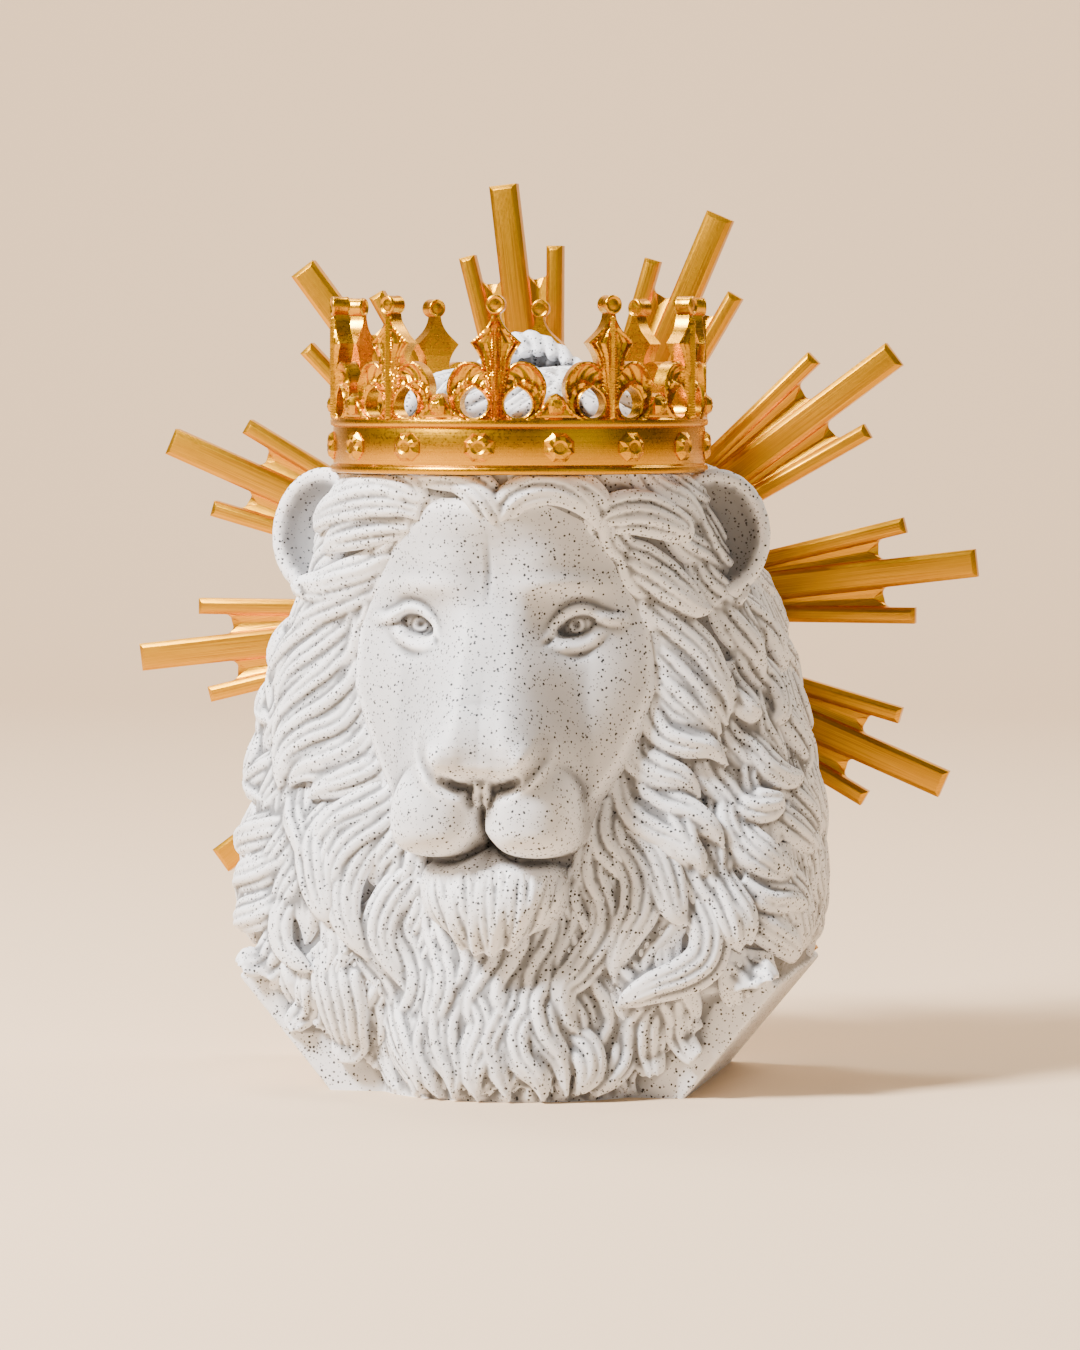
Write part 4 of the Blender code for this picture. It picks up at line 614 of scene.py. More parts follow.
def maneHair(skin, whole):
    lines = HairLines()
    rng = random.Random(7)
    for row, (behind, lift, length, width, pull) in enumerate(hair["rows"]):
        for side in (-1, 1):
            for index, (x, z) in enumerate(edgePoints(10.5 + 0.06 * max(behind, 0))):
                jitter = rng.uniform(-1.5, 1.5)
                place, normal = skin.fromFront(side * (x + 0.5), z + jitter)
                if behind > 4:
                    place, normal = walk(skin, place, normal, behind + 6 * (row % 2), 0.1)[-1]
                if place.y > 60 * mm or not clearOfSlab(place, 8):
                    continue
                low = 1 - min(max((z - 110) / 45, 0), 1)
                phase = 0.02 * index + 0.27 * (row % 2) + rng.uniform(-0.06, 0.06)
                near = behind < hair["nearRows"]
                reach = length * rng.uniform(0.88, 1.12)
                curl = rng.choice((-0.9, 0.9)) * rng.uniform(0.5, 1.0)
                line = walk(skin, place, normal, reach, pull + (2.2 if near else 0.9) * low,
                            0.4 if near else 0.55, phase, curl, side)
                line = [pair for pair in line if clearOfSlab(pair[0], 0)]
                if len(line) > 6:
                    part = ("side" if behind > 50 else "mane") + ("Left" if side < 0 else "Right")
                    addLock(lines, part, line, width * rng.uniform(0.9, 1.1), lift, rng.random())
    for index, (angle, top) in enumerate(hair["fillers"]):  # between the beard's own locks
        line = [(angle + 3.5 * math.sin(0.2 * (top - z) + 0.7 * index), z) for z in np.linspace(top, 1, 12)]
        addLock(lines, "beard", traced(whole, line), 9.5, 1.6, rng.random(), tip=0.5)
    for width, lift, *points in hair["locks"]:
        angle, z = points[len(points) // 2]
        part = "maneLeft" if angle < 0 else "maneRight"
        if z > 150:
            part = "crest"
        elif abs(angle) < 48 and z < 80:
            part = "beard"
        addLock(lines, part, traced(whole, points), width * hair["wider"], lift * hair["lower"], rng.random())
    for i in range(9):  # behind the crown, down from the top of the head
        angle = math.radians(100 + 20 * i)
        spot = Vector((56 * math.sin(angle), crown["centreY"] - 56 * math.cos(angle), 172))
        place, normal = skin.nearest(spot * mm)
        line = walk(skin, place, normal, 42, 0.9, 0.6, 0.1 * i, 0.5, 1 if place.x > 0 else -1)
        addLock(lines, "crest", line, 15, 2.5, rng.random())
    addChin(lines, rng)
    addCrest(lines, skin, rng)
    return lines


def addChin(lines, rng):
    # the tuft of short hair on the chin
    count = hair["chinStrands"]
    for i in range(count):
        u = -1 + 2 * i / (count - 1)
        drop = 22.5 - 8 * u * u + rng.uniform(-1.4, 1.4)
        points = []
        radii = []
        for k in range(11):
            t = k / 10
            forward = 51.6 + 3.4 * math.sin(math.pi * t) - 1.4 * t - 7.5 * u ** 4 - 1.6 * u * u
            points.append((18.8 * u * (1 - 0.40 * t * t) - 0.4 + 0.6 * math.sin(5 * t + 1.7 * i), -forward,
                           64.6 - drop * t - 3 * u * u))
            radii.append(1.75 * (0.3 + 0.7 * math.sin(math.pi * min(0.08 + t * 0.84, 1)) ** 0.7))
        addStrand(lines, "beard", points, radii)


def addCrest(lines, skin, rng):
    # hair combed over the top of the head, and the curls that stand up inside the crown
    for i in range(14):
        angle = 2 * math.pi * (i + rng.uniform(-0.2, 0.2)) / 14
        line = []
        for k in range(12):
            bend = angle + 0.5 * math.sin(3.2 * k / 11 + i)
            reach = 6 + 36 * k / 11
            spot = Vector((reach * math.sin(bend), crown["centreY"] - reach * math.cos(bend),
                           203 - 0.014 * reach ** 2))
            line.append(skin.nearest(spot * mm))
        addLock(lines, "crest", line, 12, 2.6, rng.random(), tip=0.6)
    for i in range(7):
        lean = -10 + 4.0 * i
        height = (203, 207.5, 210, 210.5, 209, 206.5, 203)[i]
        points = []
        radii = []
        for k in range(9):
            t = k / 8
            points.append((lean - 8 + 10 * t, 14 - 9 * t, 194 + (height - 194) * math.sin(2.3 * t) - 1.5 * t))
            radii.append(2.9 - 0.9 * t)
        addStrand(lines, "crest", points, radii)


ear = {"place": (56, -9, 155), "radii": (15.0, 18.0), "turn": 14, "lean": -8}


def addEar(bm, side):
    # a rounded cup, turned outwards: share of its radii, and depth
    profile = ((0, -3.4), (0.4, -3.1), (0.6, -2.0), (0.74, 0.0), (0.84, 1.7), (0.94, 2.0), (1.02, 0.5),
               (1.0, -3), (0.7, -10), (0, -14))
    across, front, height = ear["place"]
    place = Matrix.Translation(Vector((across * side, front, height)) * mm)
    place @= Matrix.Rotation(math.radians(ear["turn"] * side), 4, "Z")
    place @= Matrix.Rotation(math.radians(ear["lean"]), 4, "X")
    rings = []
    for reach, depth in profile:
        ring = []
        for i in range(24):
            angle = 2 * math.pi * i / 24
            spot = Vector((ear["radii"][0] * reach * math.cos(angle), -depth,
                           ear["radii"][1] * reach * math.sin(angle)))
            ring.append(place @ (spot * mm))
        rings.append([bm.verts.new(v) for v in ring] if reach else [bm.verts.new(ring[0])])
    for low, high in zip(rings, rings[1:]):
        for i in range(24):
            j = (i + 1) % 24
            if len(low) == 1:
                bm.faces.new((low[0], high[j], high[i]))
            elif len(high) == 1:
                bm.faces.new((low[i], low[j], high[0]))
            else:
                bm.faces.new((low[i], low[j], high[j], high[i]))


def largestShell(mesh):
    # the outer skin alone, without what the remesh or a cut left loose
    bm = bmesh.new()
    bm.from_mesh(mesh)
    unseen = set(bm.verts)
    shells = []
    while unseen:
        start = unseen.pop()
        shell = [start]
        queue = [start]
        while queue:
            for edge in queue.pop().link_edges:
                for vert in edge.verts:
                    if vert in unseen:
                        unseen.discard(vert)
                        shell.append(vert)
                        queue.append(vert)
        shells.append(shell)
    shells.sort(key=len)
    bmesh.ops.delete(bm, geom=[v for shell in shells[:-1] for v in shell], context="VERTS")
    bm.to_mesh(mesh)
    bm.free()


def cutAway(obj, cutters):
    for cutter in cutters:
        cut = obj.modifiers.new(cutter.name, "BOOLEAN")
        cut.operation = "DIFFERENCE"
        cut.solver = "EXACT"
        cut.object = cutter
    mesh = finalMesh(obj)
    for cutter in cutters:
        bpy.data.objects.remove(cutter)
    return mesh


def cutterBox(name, low, high):
    bm = bmesh.new()
    low = Vector(low) * mm
    high = Vector(high) * mm
    matrix = Matrix.Translation((low + high) / 2) @ Matrix.Diagonal((*(high - low), 1))
    bmesh.ops.create_cube(bm, size=1, matrix=matrix)
    mesh = bpy.data.meshes.new(name)
    bm.to_mesh(mesh)
    bm.free()
    return addObject(name, mesh)


def seatCutter():
    # the flat ring that the crown rests on
    inner = crown["inner"] - 0.6
    outer = crown["outer"] + crown["rim"] + 0.3
    low, high = crown["seat"], crown["seat"] + 20
    profile = ((inner, low), (outer, low), (outer, high), (inner, high))
    bm = bmesh.new()
    rings = []
    for i in range(96):
        angle = 2 * math.pi * i / 96
        sine, cosine = math.sin(angle), math.cos(angle)
        rings.append([bm.verts.new(Vector((r * sine, crown["centreY"] - r * cosine, z)) * mm)
                      for r, z in profile])
    for a, b in zip(rings, rings[1:] + rings[:1]):
        for k in range(4):
            bm.faces.new((a[k], b[k], b[(k + 1) % 4], a[(k + 1) % 4]))
    bmesh.ops.recalc_face_normals(bm, faces=bm.faces)
    mesh = bpy.data.meshes.new("seatCutter")
    bm.to_mesh(mesh)
    bm.free()
    return addObject("seatCutter", mesh)


def strandTree():
    # strands along their lines: an oval swept over each, standing away from the head
    tree = bpy.data.node_groups.new("strands", "GeometryNodeTree")
    face = tree.interface
    for name, kind in (("Lines", "NodeSocketGeometry"), ("Tall", "NodeSocketFloat"), ("Round", "NodeSocketInt"),
                       ("Finish", "NodeSocketMaterial")):
        face.new_socket(name, in_out="INPUT", socket_type=kind)
    face.new_socket("Geometry", in_out="OUTPUT", socket_type="NodeSocketGeometry")
    nodes, links = tree.nodes, tree.links
    given = nodes.new("NodeGroupInput")
    out = nodes.new("NodeGroupOutput")
    curves = nodes.new("GeometryNodeMeshToCurve")
    thick = nodes.new("GeometryNodeInputNamedAttribute")
    thick.inputs["Name"].default_value = "thick"
    up = nodes.new("GeometryNodeInputNamedAttribute")
    up.data_type = "FLOAT_VECTOR"
    up.inputs["Name"].default_value = "up"
    facing = nodes.new("GeometryNodeSetCurveNormal")
    facing.mode = "FREE"
    radius = nodes.new("GeometryNodeSetCurveRadius")
    oval = nodes.new("GeometryNodeCurvePrimitiveCircle")
    oval.inputs["Radius"].default_value = 1.0
    taller = nodes.new("ShaderNodeCombineXYZ")
    taller.inputs[1].default_value = 1.0
    taller.inputs[2].default_value = 1.0
    shape = nodes.new("GeometryNodeTransform")
    sweep = nodes.new("GeometryNodeCurveToMesh")
    real = nodes.new("GeometryNodeRealizeInstances")
    finish = nodes.new("GeometryNodeSetMaterial")
    links.new(given.outputs["Lines"], curves.inputs["Mesh"])
    links.new(curves.outputs[0], facing.inputs["Curve"])
    links.new(up.outputs["Attribute"], facing.inputs["Normal"])
    links.new(facing.outputs[0], radius.inputs["Curve"])
    links.new(thick.outputs["Attribute"], radius.inputs["Radius"])
    links.new(given.outputs["Round"], oval.inputs["Resolution"])
    links.new(given.outputs["Tall"], taller.inputs[0])
    links.new(oval.outputs[0], shape.inputs["Geometry"])
    links.new(taller.outputs[0], shape.inputs["Scale"])
    links.new(radius.outputs[0], sweep.inputs["Curve"])
    links.new(shape.outputs[0], sweep.inputs["Profile Curve"])
    sweep.inputs["Fill Caps"].default_value = True
    links.new(thick.outputs["Attribute"], sweep.inputs["Scale"])
    links.new(sweep.outputs[0], real.inputs[0])
    links.new(real.outputs[0], finish.inputs["Geometry"])
    links.new(given.outputs["Finish"], finish.inputs["Material"])
    links.new(finish.outputs[0], out.inputs[0])
    return tree


def cutFlat(bm, place, outward):
    # takes off what lies beyond a plane and closes the ends
    cut = bmesh.ops.bisect_plane(bm, geom=bm.verts[:] + bm.edges[:] + bm.faces[:], plane_co=place,
                                 plane_no=outward, clear_outer=True)
    edges = [e for e in cut["geom_cut"] if isinstance(e, bmesh.types.BMEdge) and e.is_boundary]
    if edges:
        bmesh.ops.holes_fill(bm, edges=edges)


def buildStrands(name, strands, tree, material):
    verts, edges, thick, up = [], [], [], []
    for points, radii, normals in strands:
        first = len(verts)
        verts += [tuple(p) for p in points]
        edges += [(first + i, first + i + 1) for i in range(len(points) - 1)]
        thick += radii
        for n in normals:
            up += tuple(n)
    mesh = bpy.data.meshes.new(name)
    mesh.from_pydata(verts, edges, [])
    mesh.attributes.new("thick", "FLOAT", "POINT").data.foreach_set("value", thick)
    mesh.attributes.new("up", "FLOAT_VECTOR", "POINT").data.foreach_set("vector", up)
    host = addObject(name + "Lines", mesh)
    sweep = host.modifiers.new("strands", "NODES")
    sweep.node_group = tree
    names = {item.name: item.identifier for item in tree.interface.items_tree if item.in_out == "INPUT"}
    sweep[names["Tall"]] = hair["tall"]
    sweep[names["Round"]] = 8
    sweep[names["Finish"]] = material
    skin = host.modifiers.new("skin", "REMESH")
    skin.mode = "VOXEL"
    skin.voxel_size = hair["voxel"] * mm
    soft = host.modifiers.new("soft", "SMOOTH")
    soft.factor = 0.5
    soft.iterations = hair["soften"]
    mesh = finalMesh(host)
    rough = addObject(name + "Rough", mesh)
    fewer = rough.modifiers.new("fewer", "DECIMATE")
    fewer.ratio = min(1, hair["triangles"] / (2 * len(mesh.polygons)))
    mesh = finalMesh(rough)
    # the crown's seat stays clear
    co = np.empty(len(mesh.vertices) * 3)
    mesh.vertices.foreach_get("co", co)
    co = co.reshape(-1, 3)
    reach = np.hypot(co[:, 0], co[:, 1] - crown["centreY"] * mm)
    over = (co[:, 2] > (crown["seat"] - 0.1) * mm) & (reach > (crown["inner"] - 0.7) * mm)
    over &= reach < (crown["outer"] + crown["rim"] + 0.4) * mm
    co[over, 2] = (crown["seat"] - 0.1) * mm
    mesh.vertices.foreach_set("co", co.ravel())
    bm = bmesh.new()
    bm.from_mesh(mesh)
    cutFlat(bm, (0, 0, 0), (0, 0, -1))
    cutFlat(bm, (0, head["backY"] * mm, 0), (0, 1, 0))
    bmesh.ops.recalc_face_normals(bm, faces=bm.faces)
    bm.to_mesh(mesh)
    bm.free()
    mesh.shade_smooth()
    # values for the painted shade in the grooves and painted light on the ridges
    markPaintedGrooveShade(mesh)
    obj = addObject(name, mesh, material)
    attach(obj, "root")
    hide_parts("lion_head")
    print(name + ":", len(strands), "strands,", len(mesh.polygons), "faces")


def buildHead(material):
    bm = bmesh.new()
    bm.from_mesh(underForm())
    skin = Skin(bm)
    addSlab(bm)
    for side in (-1, 1):
        addEar(bm, side)
    whole = Skin(bm)
    bm.from_mesh(faceBlock(head["roughStep"], head["under"]))
    lines = maneHair(skin, whole)
    bm.from_mesh(meshFrom("cores", *lines.cores))
    mesh = remeshed(bm, head["voxel"], 1)
    largestShell(mesh)
    rough = addObject("roughHead", mesh)
    fewer = rough.modifiers.new("fewer", "DECIMATE")
    fewer.ratio = min(1, head["triangles"] / (2 * len(mesh.polygons)))
    mesh = cutAway(rough, [cutterBox("floorCutter", (-120, -120, -60), (120, 120, 0)),
                           cutterBox("backCutter", (-130, head["backY"], -80), (130, 140, 260)), seatCutter()])
    largestShell(mesh)
    mesh.name = "lionHeadSkin"
    shadeSmooth(mesh, 60)
    fine = faceBlock(head["faceStep"], 0.0)
    shadeSmooth(fine, 70)
    for name, part in (("lionHead", mesh), ("lionFace", fine)):
        # values for the painted shade in the grooves and painted light on the ridges, weaker on the face
        markPaintedGrooveShade(part, grooveShade["face"] if name == "lionFace" else 1.0)
        obj = addObject(name, part, material)
        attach(obj, "root")
        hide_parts("lion_head")
        print(name + ":", len(part.polygons), "faces")
    tree = strandTree()
    for name, strands in lines.strands.items():
        buildStrands(name, strands, tree, material)

# What repeats round a middle, such as the crown's finials and stones and the groups of rays,
# is one piece copied by a geometry node tree.

def ringTree():
    tree = bpy.data.node_groups.new("ringOfCopies", "GeometryNodeTree")
    face = tree.interface
    for name, kind in (("Piece", "NodeSocketObject"), ("Count", "NodeSocketInt"), ("Turn", "NodeSocketFloat"),
                       ("Axis", "NodeSocketVector"), ("Centre", "NodeSocketVector"),
                       ("Finish", "NodeSocketMaterial")):
        face.new_socket(name, in_out="INPUT", socket_type=kind)
    face.new_socket("Geometry", in_out="OUTPUT", socket_type="NodeSocketGeometry")
    nodes, links = tree.nodes, tree.links
    given = nodes.new("NodeGroupInput")
    out = nodes.new("NodeGroupOutput")
    points = nodes.new("GeometryNodePoints")
    piece = nodes.new("GeometryNodeObjectInfo")
    copies = nodes.new("GeometryNodeInstanceOnPoints")
    index = nodes.new("GeometryNodeInputIndex")
    step = nodes.new("ShaderNodeMath")
    step.operation = "DIVIDE"
    step.inputs[0].default_value = 2 * math.pi
    angle = nodes.new("ShaderNodeMath")
    angle.operation = "MULTIPLY_ADD"
    about = nodes.new("ShaderNodeVectorMath")
    about.operation = "SCALE"
    real = nodes.new("GeometryNodeRealizeInstances")
    finish = nodes.new("GeometryNodeSetMaterial")
    links.new(given.outputs["Count"], points.inputs["Count"])
    links.new(given.outputs["Centre"], points.inputs["Position"])
    links.new(given.outputs["Count"], step.inputs[1])
    links.new(index.outputs[0], angle.inputs[0])
    links.new(step.outputs[0], angle.inputs[1])
    links.new(given.outputs["Turn"], angle.inputs[2])
    links.new(given.outputs["Axis"], about.inputs[0])
    links.new(angle.outputs[0], about.inputs["Scale"])
    links.new(given.outputs["Piece"], piece.inputs["Object"])
    links.new(points.outputs[0], copies.inputs["Points"])
    links.new(piece.outputs["Geometry"], copies.inputs["Instance"])
    links.new(about.outputs[0], copies.inputs["Rotation"])
    links.new(copies.outputs[0], real.inputs[0])
    links.new(real.outputs[0], finish.inputs["Geometry"])
    links.new(given.outputs["Finish"], finish.inputs["Material"])
    links.new(finish.outputs[0], out.inputs[0])
    return tree


def ringOf(mesh, count, turn, axis, centre, material):
    # copies of a piece drawn at the top or the front of its ring
    piece = addObject("onePiece", mesh)
    host = addObject("copies", bpy.data.meshes.new("copies"))
    copies = host.modifiers.new("copies", "NODES")
    copies.node_group = ringCopies
    names = {item.name: item.identifier for item in ringCopies.interface.items_tree if item.in_out == "INPUT"}
    copies[names["Piece"]] = piece
    copies[names["Count"]] = count
    copies[names["Turn"]] = math.radians(turn)
    copies[names["Axis"]] = axis
    copies[names["Centre"]] = tuple(c * mm for c in centre)
    copies[names["Finish"]] = material
    made = finalMesh(host)
    bpy.data.objects.remove(piece)
    return made


def joined(name, meshes, material):
    bm = bmesh.new()
    for mesh in meshes:
        bm.from_mesh(mesh)
    mesh = bpy.data.meshes.new(name)
    bm.to_mesh(mesh)
    bm.free()
    return addObject(name, mesh, material)


def evenly(points, gap):
    # the same open line with places a set distance apart
    points = np.asarray(points, float)
    lengths = np.r_[0, np.cumsum(np.linalg.norm(np.diff(points, axis=0), axis=1))]
    wanted = np.linspace(0, lengths[-1], max(int(round(lengths[-1] / gap)), 1) + 1)
    return np.stack([np.interp(wanted, lengths, points[:, 0]), np.interp(wanted, lengths, points[:, 1])], -1)


def drawn(curves, gap):
    # a line of smooth curves with corners where they meet
    parts = [evenly(smoothLine(curve) if len(curve) > 2 else curve, gap)[:-1] for curve in curves]
    return np.vstack(parts + [np.array([curves[-1][-1]], float)])


def fromLoops(points, loops):
    # distance from each point to the nearest of the closed loops
    best = np.full(len(points), 1e9)
    for loop in loops:
        a = np.asarray(loop, float)
        b = np.roll(a, -1, axis=0)
        along = b - a
        square = np.maximum((along ** 2).sum(1), 1e-12)
        t = np.clip(((points[:, None] - a) * along).sum(2) / square, 0, 1)
        gap = points[:, None] - a - t[..., None] * along
        best = np.minimum(best, np.sqrt((gap ** 2).sum(2)).min(1))
    return best


def within(loop, points):
    loop = np.asarray(loop, float)
    odd = np.zeros(len(points), bool)
    for (ax, ay), (bx, by) in zip(loop, np.roll(loop, -1, axis=0)):
        crosses = (ay > points[:, 1]) != (by > points[:, 1])
        if by != ay:
            odd ^= crosses & (points[:, 0] < ax + (points[:, 1] - ay) * (bx - ax) / (by - ay))
    return odd


def filled(points, edges, outer, holes):
    # triangles inside the outer loop and outside the holes
    flat, _, triangles, origins, _, _ = delaunay_2d_cdt([Vector(p) for p in points], edges, [], 0, 1e-7)
    flat = np.array([v[:] for v in flat])
    triangles = np.array(triangles)
    middles = flat[triangles].mean(axis=1)
    keep = within(outer, middles)
    for hole in holes:
        keep &= ~within(hole, middles)
    return [[origins[i][0] for i in triangle] for triangle in triangles[keep]]


def plate(outer, holes, grid, front, back):
    # a plate with relief on its front: front and back turn flat places into places in space
    loops = [outer] + holes
    border = np.vstack(loops)
    edges, first = [], 0
    for loop in loops:
        edges += [(first + i, first + (i + 1) % len(loop)) for i in range(len(loop))]
        first += len(loop)
    low, high = border.min(axis=0), border.max(axis=0)
    spots = []
    for i, v in enumerate(np.arange(low[1], high[1], grid * 0.866)):
        across = np.arange(low[0] + (i % 2) * grid / 2, high[0], grid)
        spots.append(np.stack([across, np.full(len(across), v)], -1))
    spots = np.vstack(spots)
    keep = within(outer, spots)
    for hole in holes:
        keep &= ~within(hole, spots)
    spots = spots[keep]
    spots = spots[fromLoops(spots, loops) > grid * 0.45]
    points = np.vstack([border, spots])
    count = len(points)
    faces = [tuple(t) for t in filled(points, edges, outer, holes)]
    faces += [tuple(count + i for i in reversed(t)) for t in filled(border, edges, outer, holes)]
    faces += [(a, b, count + b, count + a) for a, b in edges]
    return outward(meshFrom("plate", np.vstack([front(points), back(border)]) * mm, faces))


def outward(mesh):
    bm = bmesh.new()
    bm.from_mesh(mesh)
    bmesh.ops.recalc_face_normals(bm, faces=bm.faces)
    bm.to_mesh(mesh)
    bm.free()
    return mesh


# The crown: its wall is drawn flat, across and up from the top of the band, then bent round.

finial = {
    "grid": 0.40, "edge": 0.36, "rim": 0.35, "scoop": 1.35, "backRadius": 48.0,
    # half of the outline, from the neck below the ball to the band
    "outline": (((1.0, 28.6), (1.5, 26.6), (3.2, 24.0), (7.06, 20.6)),
                ((7.06, 20.6), (5.2, 18.2), (4.2, 16.2), (3.75, 14.0)),
                ((3.75, 14.0), (5.0, 15.0), (7.0, 15.6), (9.5, 15.1), (11.8, 13.3), (13.3, 10.8), (13.8, 8.2),
                 (13.2, 5.2)),
                ((13.2, 5.2), (12.4, -0.6)), ((12.4, -0.6), (0.0, -0.6))),
    "hole": (((5.9, 8.8), (3.4, 6.8), (2.3, 4.6), (2.5, 2.6), (3.8, 0.9), (5.9, 0.35), (8.2, 1.0), (9.6, 2.8),
              (9.7, 5.0), (8.4, 7.2), (5.9, 8.8)),),
    "mount": (((7.9, -0.6), (7.9, 0.1), (5.6, 1.5), (3.4, 3.7), (1.7, 6.2)), ((1.7, 6.2), (0.0, 7.0))),
    "ballHeight": 30.9,
}


def bentRound(u, v, radius):
    angle = u / crown["outer"]
    return np.stack([radius * np.sin(angle), -radius * np.cos(angle), crown["bottom"] + crown["band"] + v], -1)


def mirrored(half):
    # the whole outline from its right half
    left = half[::-1] * (-1, 1)
    return np.vstack([half, left[left[:, 0] < -1e-6]])


def ridge(distance, at, width):
    return np.exp(-((distance - at) / width) ** 2)


def finialRelief(points, outer, holes):
    u, v = np.abs(points[:, 0]), points[:, 1]
    fromOuter = fromLoops(points, [outer])
    fromHole = fromLoops(points, holes)
    nearest = np.minimum(fromOuter, fromHole)
    half = np.interp(v, [0, 3, 6, 9, 12, 14, 16.2, 18.2, 20.6, 24.0, 26.6, 28.6],
                     [1.9, 2.0, 2.2, 2.6, 3.2, 3.75, 4.2, 5.2, 7.06, 3.2, 1.5, 1.0])
    w = u / half
    # spear and stem: a sharp middle line with flutes fanning out beside it
    spear = 1.35 * (1 - w) - 0.45 + 0.30 * np.cos(2 * math.pi * 3.0 * w) * smoothStep(0.05, 0.3, w)
    spear += 0.75 * np.exp(-(u / 0.42) ** 2) - 0.35 * ridge(u, 0.95, 0.25)
    # leaf: hollow between its rims, with a fold from the hole's point to the leaf's tip
    across = fromHole / np.maximum(fromHole + fromOuter, 1e-6)
    leaf = -finial["scoop"] * np.sin(math.pi * across) ** 0.8 * np.minimum((fromHole + fromOuter) / 3.4, 1.2)
    fold = fromLoops(np.stack([u, v], -1), [np.array([(5.9, 8.8), (8.6, 9.9), (11.0, 8.6), (12.9, 5.6),
                                                      (11.0, 8.6), (8.6, 9.9)])])
    leaf += 0.75 * ridge(fold, 0, 0.55) * smoothStep(0, 1, nearest)
    leaf += 0.25 * np.cos(2.6 * np.hypot(u - 3.4, v - 9.5)) * smoothStep(0.4, 1.2, nearest) * (v > 7)
    mix = np.where(v < 15.9, smoothStep(0.92, 1.12, w), 0)
    rise = spear * (1 - mix) + leaf * mix
    # raised line along the edges, with a groove inside it
    edge = np.where(v > -0.3, smoothStep(1.0, 0.45, nearest), 0) * (fromOuter < 9)
    rise = rise * (1 - edge) + finial["rim"] * edge - 0.3 * ridge(nearest, 0.95, 0.22) * (v > 1)
    return rise - 0.22 * np.clip(1 - nearest / 0.22, 0, 1) ** 2


def finialMesh():
    half = drawn(finial["outline"], finial["edge"])
    outer = mirrored(np.vstack([[(0.0, 28.6)], half]))
    hole = drawn(finial["hole"], finial["edge"])[:-1]
    holes = [hole, hole[::-1] * (-1, 1)]
    return plate(outer, holes, finial["grid"],
                 lambda p: bentRound(p[:, 0], p[:, 1], crown["outer"] + finialRelief(p, outer, holes)),
                 lambda p: bentRound(p[:, 0], p[:, 1], finial["backRadius"]))


def mountMesh():
    # the peak between two finials, which carries a stone
    half = drawn(finial["mount"], finial["edge"])
    outer = mirrored(half[::-1])

    def front(p):
        nearest = fromLoops(p, [outer])
        rise = 0.25 + 0.4 * smoothStep(0.95, 0.4, nearest) - 0.25 * ridge(nearest, 0.95, 0.22)
        return bentRound(p[:, 0], p[:, 1], crown["outer"] + rise - 0.2 * np.clip(1 - nearest / 0.22, 0, 1) ** 2)

    return plate(outer, [], finial["grid"], front,
                 lambda p: bentRound(p[:, 0], p[:, 1], finial["backRadius"] - 0.08))


def turned(profile, count, place):
    # a shape turned about its own axis: profile places are reach and height
    verts, faces, rings = [], [], []
    for reach, height in profile:
        first = len(verts)
        if reach == 0:
            verts.append(place(0, 0, height))
            rings.append([first] * count)
        else:
            for i in range(count):
                angle = 2 * math.pi * i / count
                verts.append(place(reach * math.cos(angle), reach * math.sin(angle), height))
            rings.append(list(range(first, first + count)))
    for low, high in zip(rings, rings[1:]):
        for i in range(count):
            j = (i + 1) % count
            corners = [low[i], low[j], high[j], high[i]]
            faces.append(tuple(dict.fromkeys(corners)))
    return meshFrom("turned", np.array(verts) * mm, faces)


def ballMesh():
    # the round head of a finial: a short drum lying along the radius, with a ring on each face
    inner, outer = finial["backRadius"], crown["outer"] + 1.1
    edge = ((0, 0.25), (0.9, 0.2), (1.55, 0.0), (1.75, 0.05), (1.95, 0.32), (2.2, 0.42), (2.45, 0.3),
            (2.62, 0.02), (2.65, -0.3), (2.55, -0.75))
    profile = [(r, outer + h - 0.35) for r, h in edge]
    profile += [(r, inner - h + 0.35) for r, h in reversed(edge)]
    top = crown["bottom"] + crown["band"] + finial["ballHeight"]
    return turned(profile[::-1], 40, lambda a, b, h: (a, -h, top + b))


def stoneMesh(size, height, rings, count, lift):
    # a cut stone on the wall; rings give scale, rise at the corners and between them
    verts, faces = [], []
    for scale, corner, between, pinch in rings:
        for i in range(2 * count):
            angle = math.pi * (i + 1) / count
            reach = scale * (pinch if i % 2 else 1)
            radius = crown["outer"] + (between if i % 2 else corner)
            u, v = size[0] * reach * math.cos(angle), size[1] * reach * math.sin(angle)
            verts.append(bentRound(np.array(u), np.array(v + height - crown["band"] + lift), radius))
    n = 2 * count
    for k in range(len(rings) - 1):
        for i in range(n):
            j = (i + 1) % n
            a, b = k * n + i, k * n + j
            if k == 0:
                faces.append((a, b, b + n, a + n))
            else:
                faces += [(a, b, a + n), (b, b + n, a + n)] if i % 2 else [(a, b, b + n), (a, b + n, a + n)]
    faces.append(tuple((len(rings) - 1) * n + i for i in range(n)))
    faces.append(tuple(reversed(range(n))))
    return meshFrom("stone", np.array(verts) * mm, faces)


bandStone = {"size": (4.5, 4.2), "height": 7.4, "corners": 8,
             # scale, rise at a corner, rise between corners, and how far the sides are drawn in
             "rings": ((1.0, -0.4, -0.4, 0.93), (1.0, 0.35, 0.3, 0.93), (0.74, 1.45, 1.0, 0.98),
                       (0.46, 1.65, 1.75, 1.0), (0.30, 1.35, 1.35, 1.0))}
peakStone = {"size": (2.75, 3.15), "height": 3.6, "corners": 4,
             "rings": ((1.0, -0.4, -0.4, 0.84), (1.0, 0.75, 0.95, 0.84), (0.60, 1.9, 2.1, 0.90),
                       (0.26, 2.35, 2.2, 1.0))}

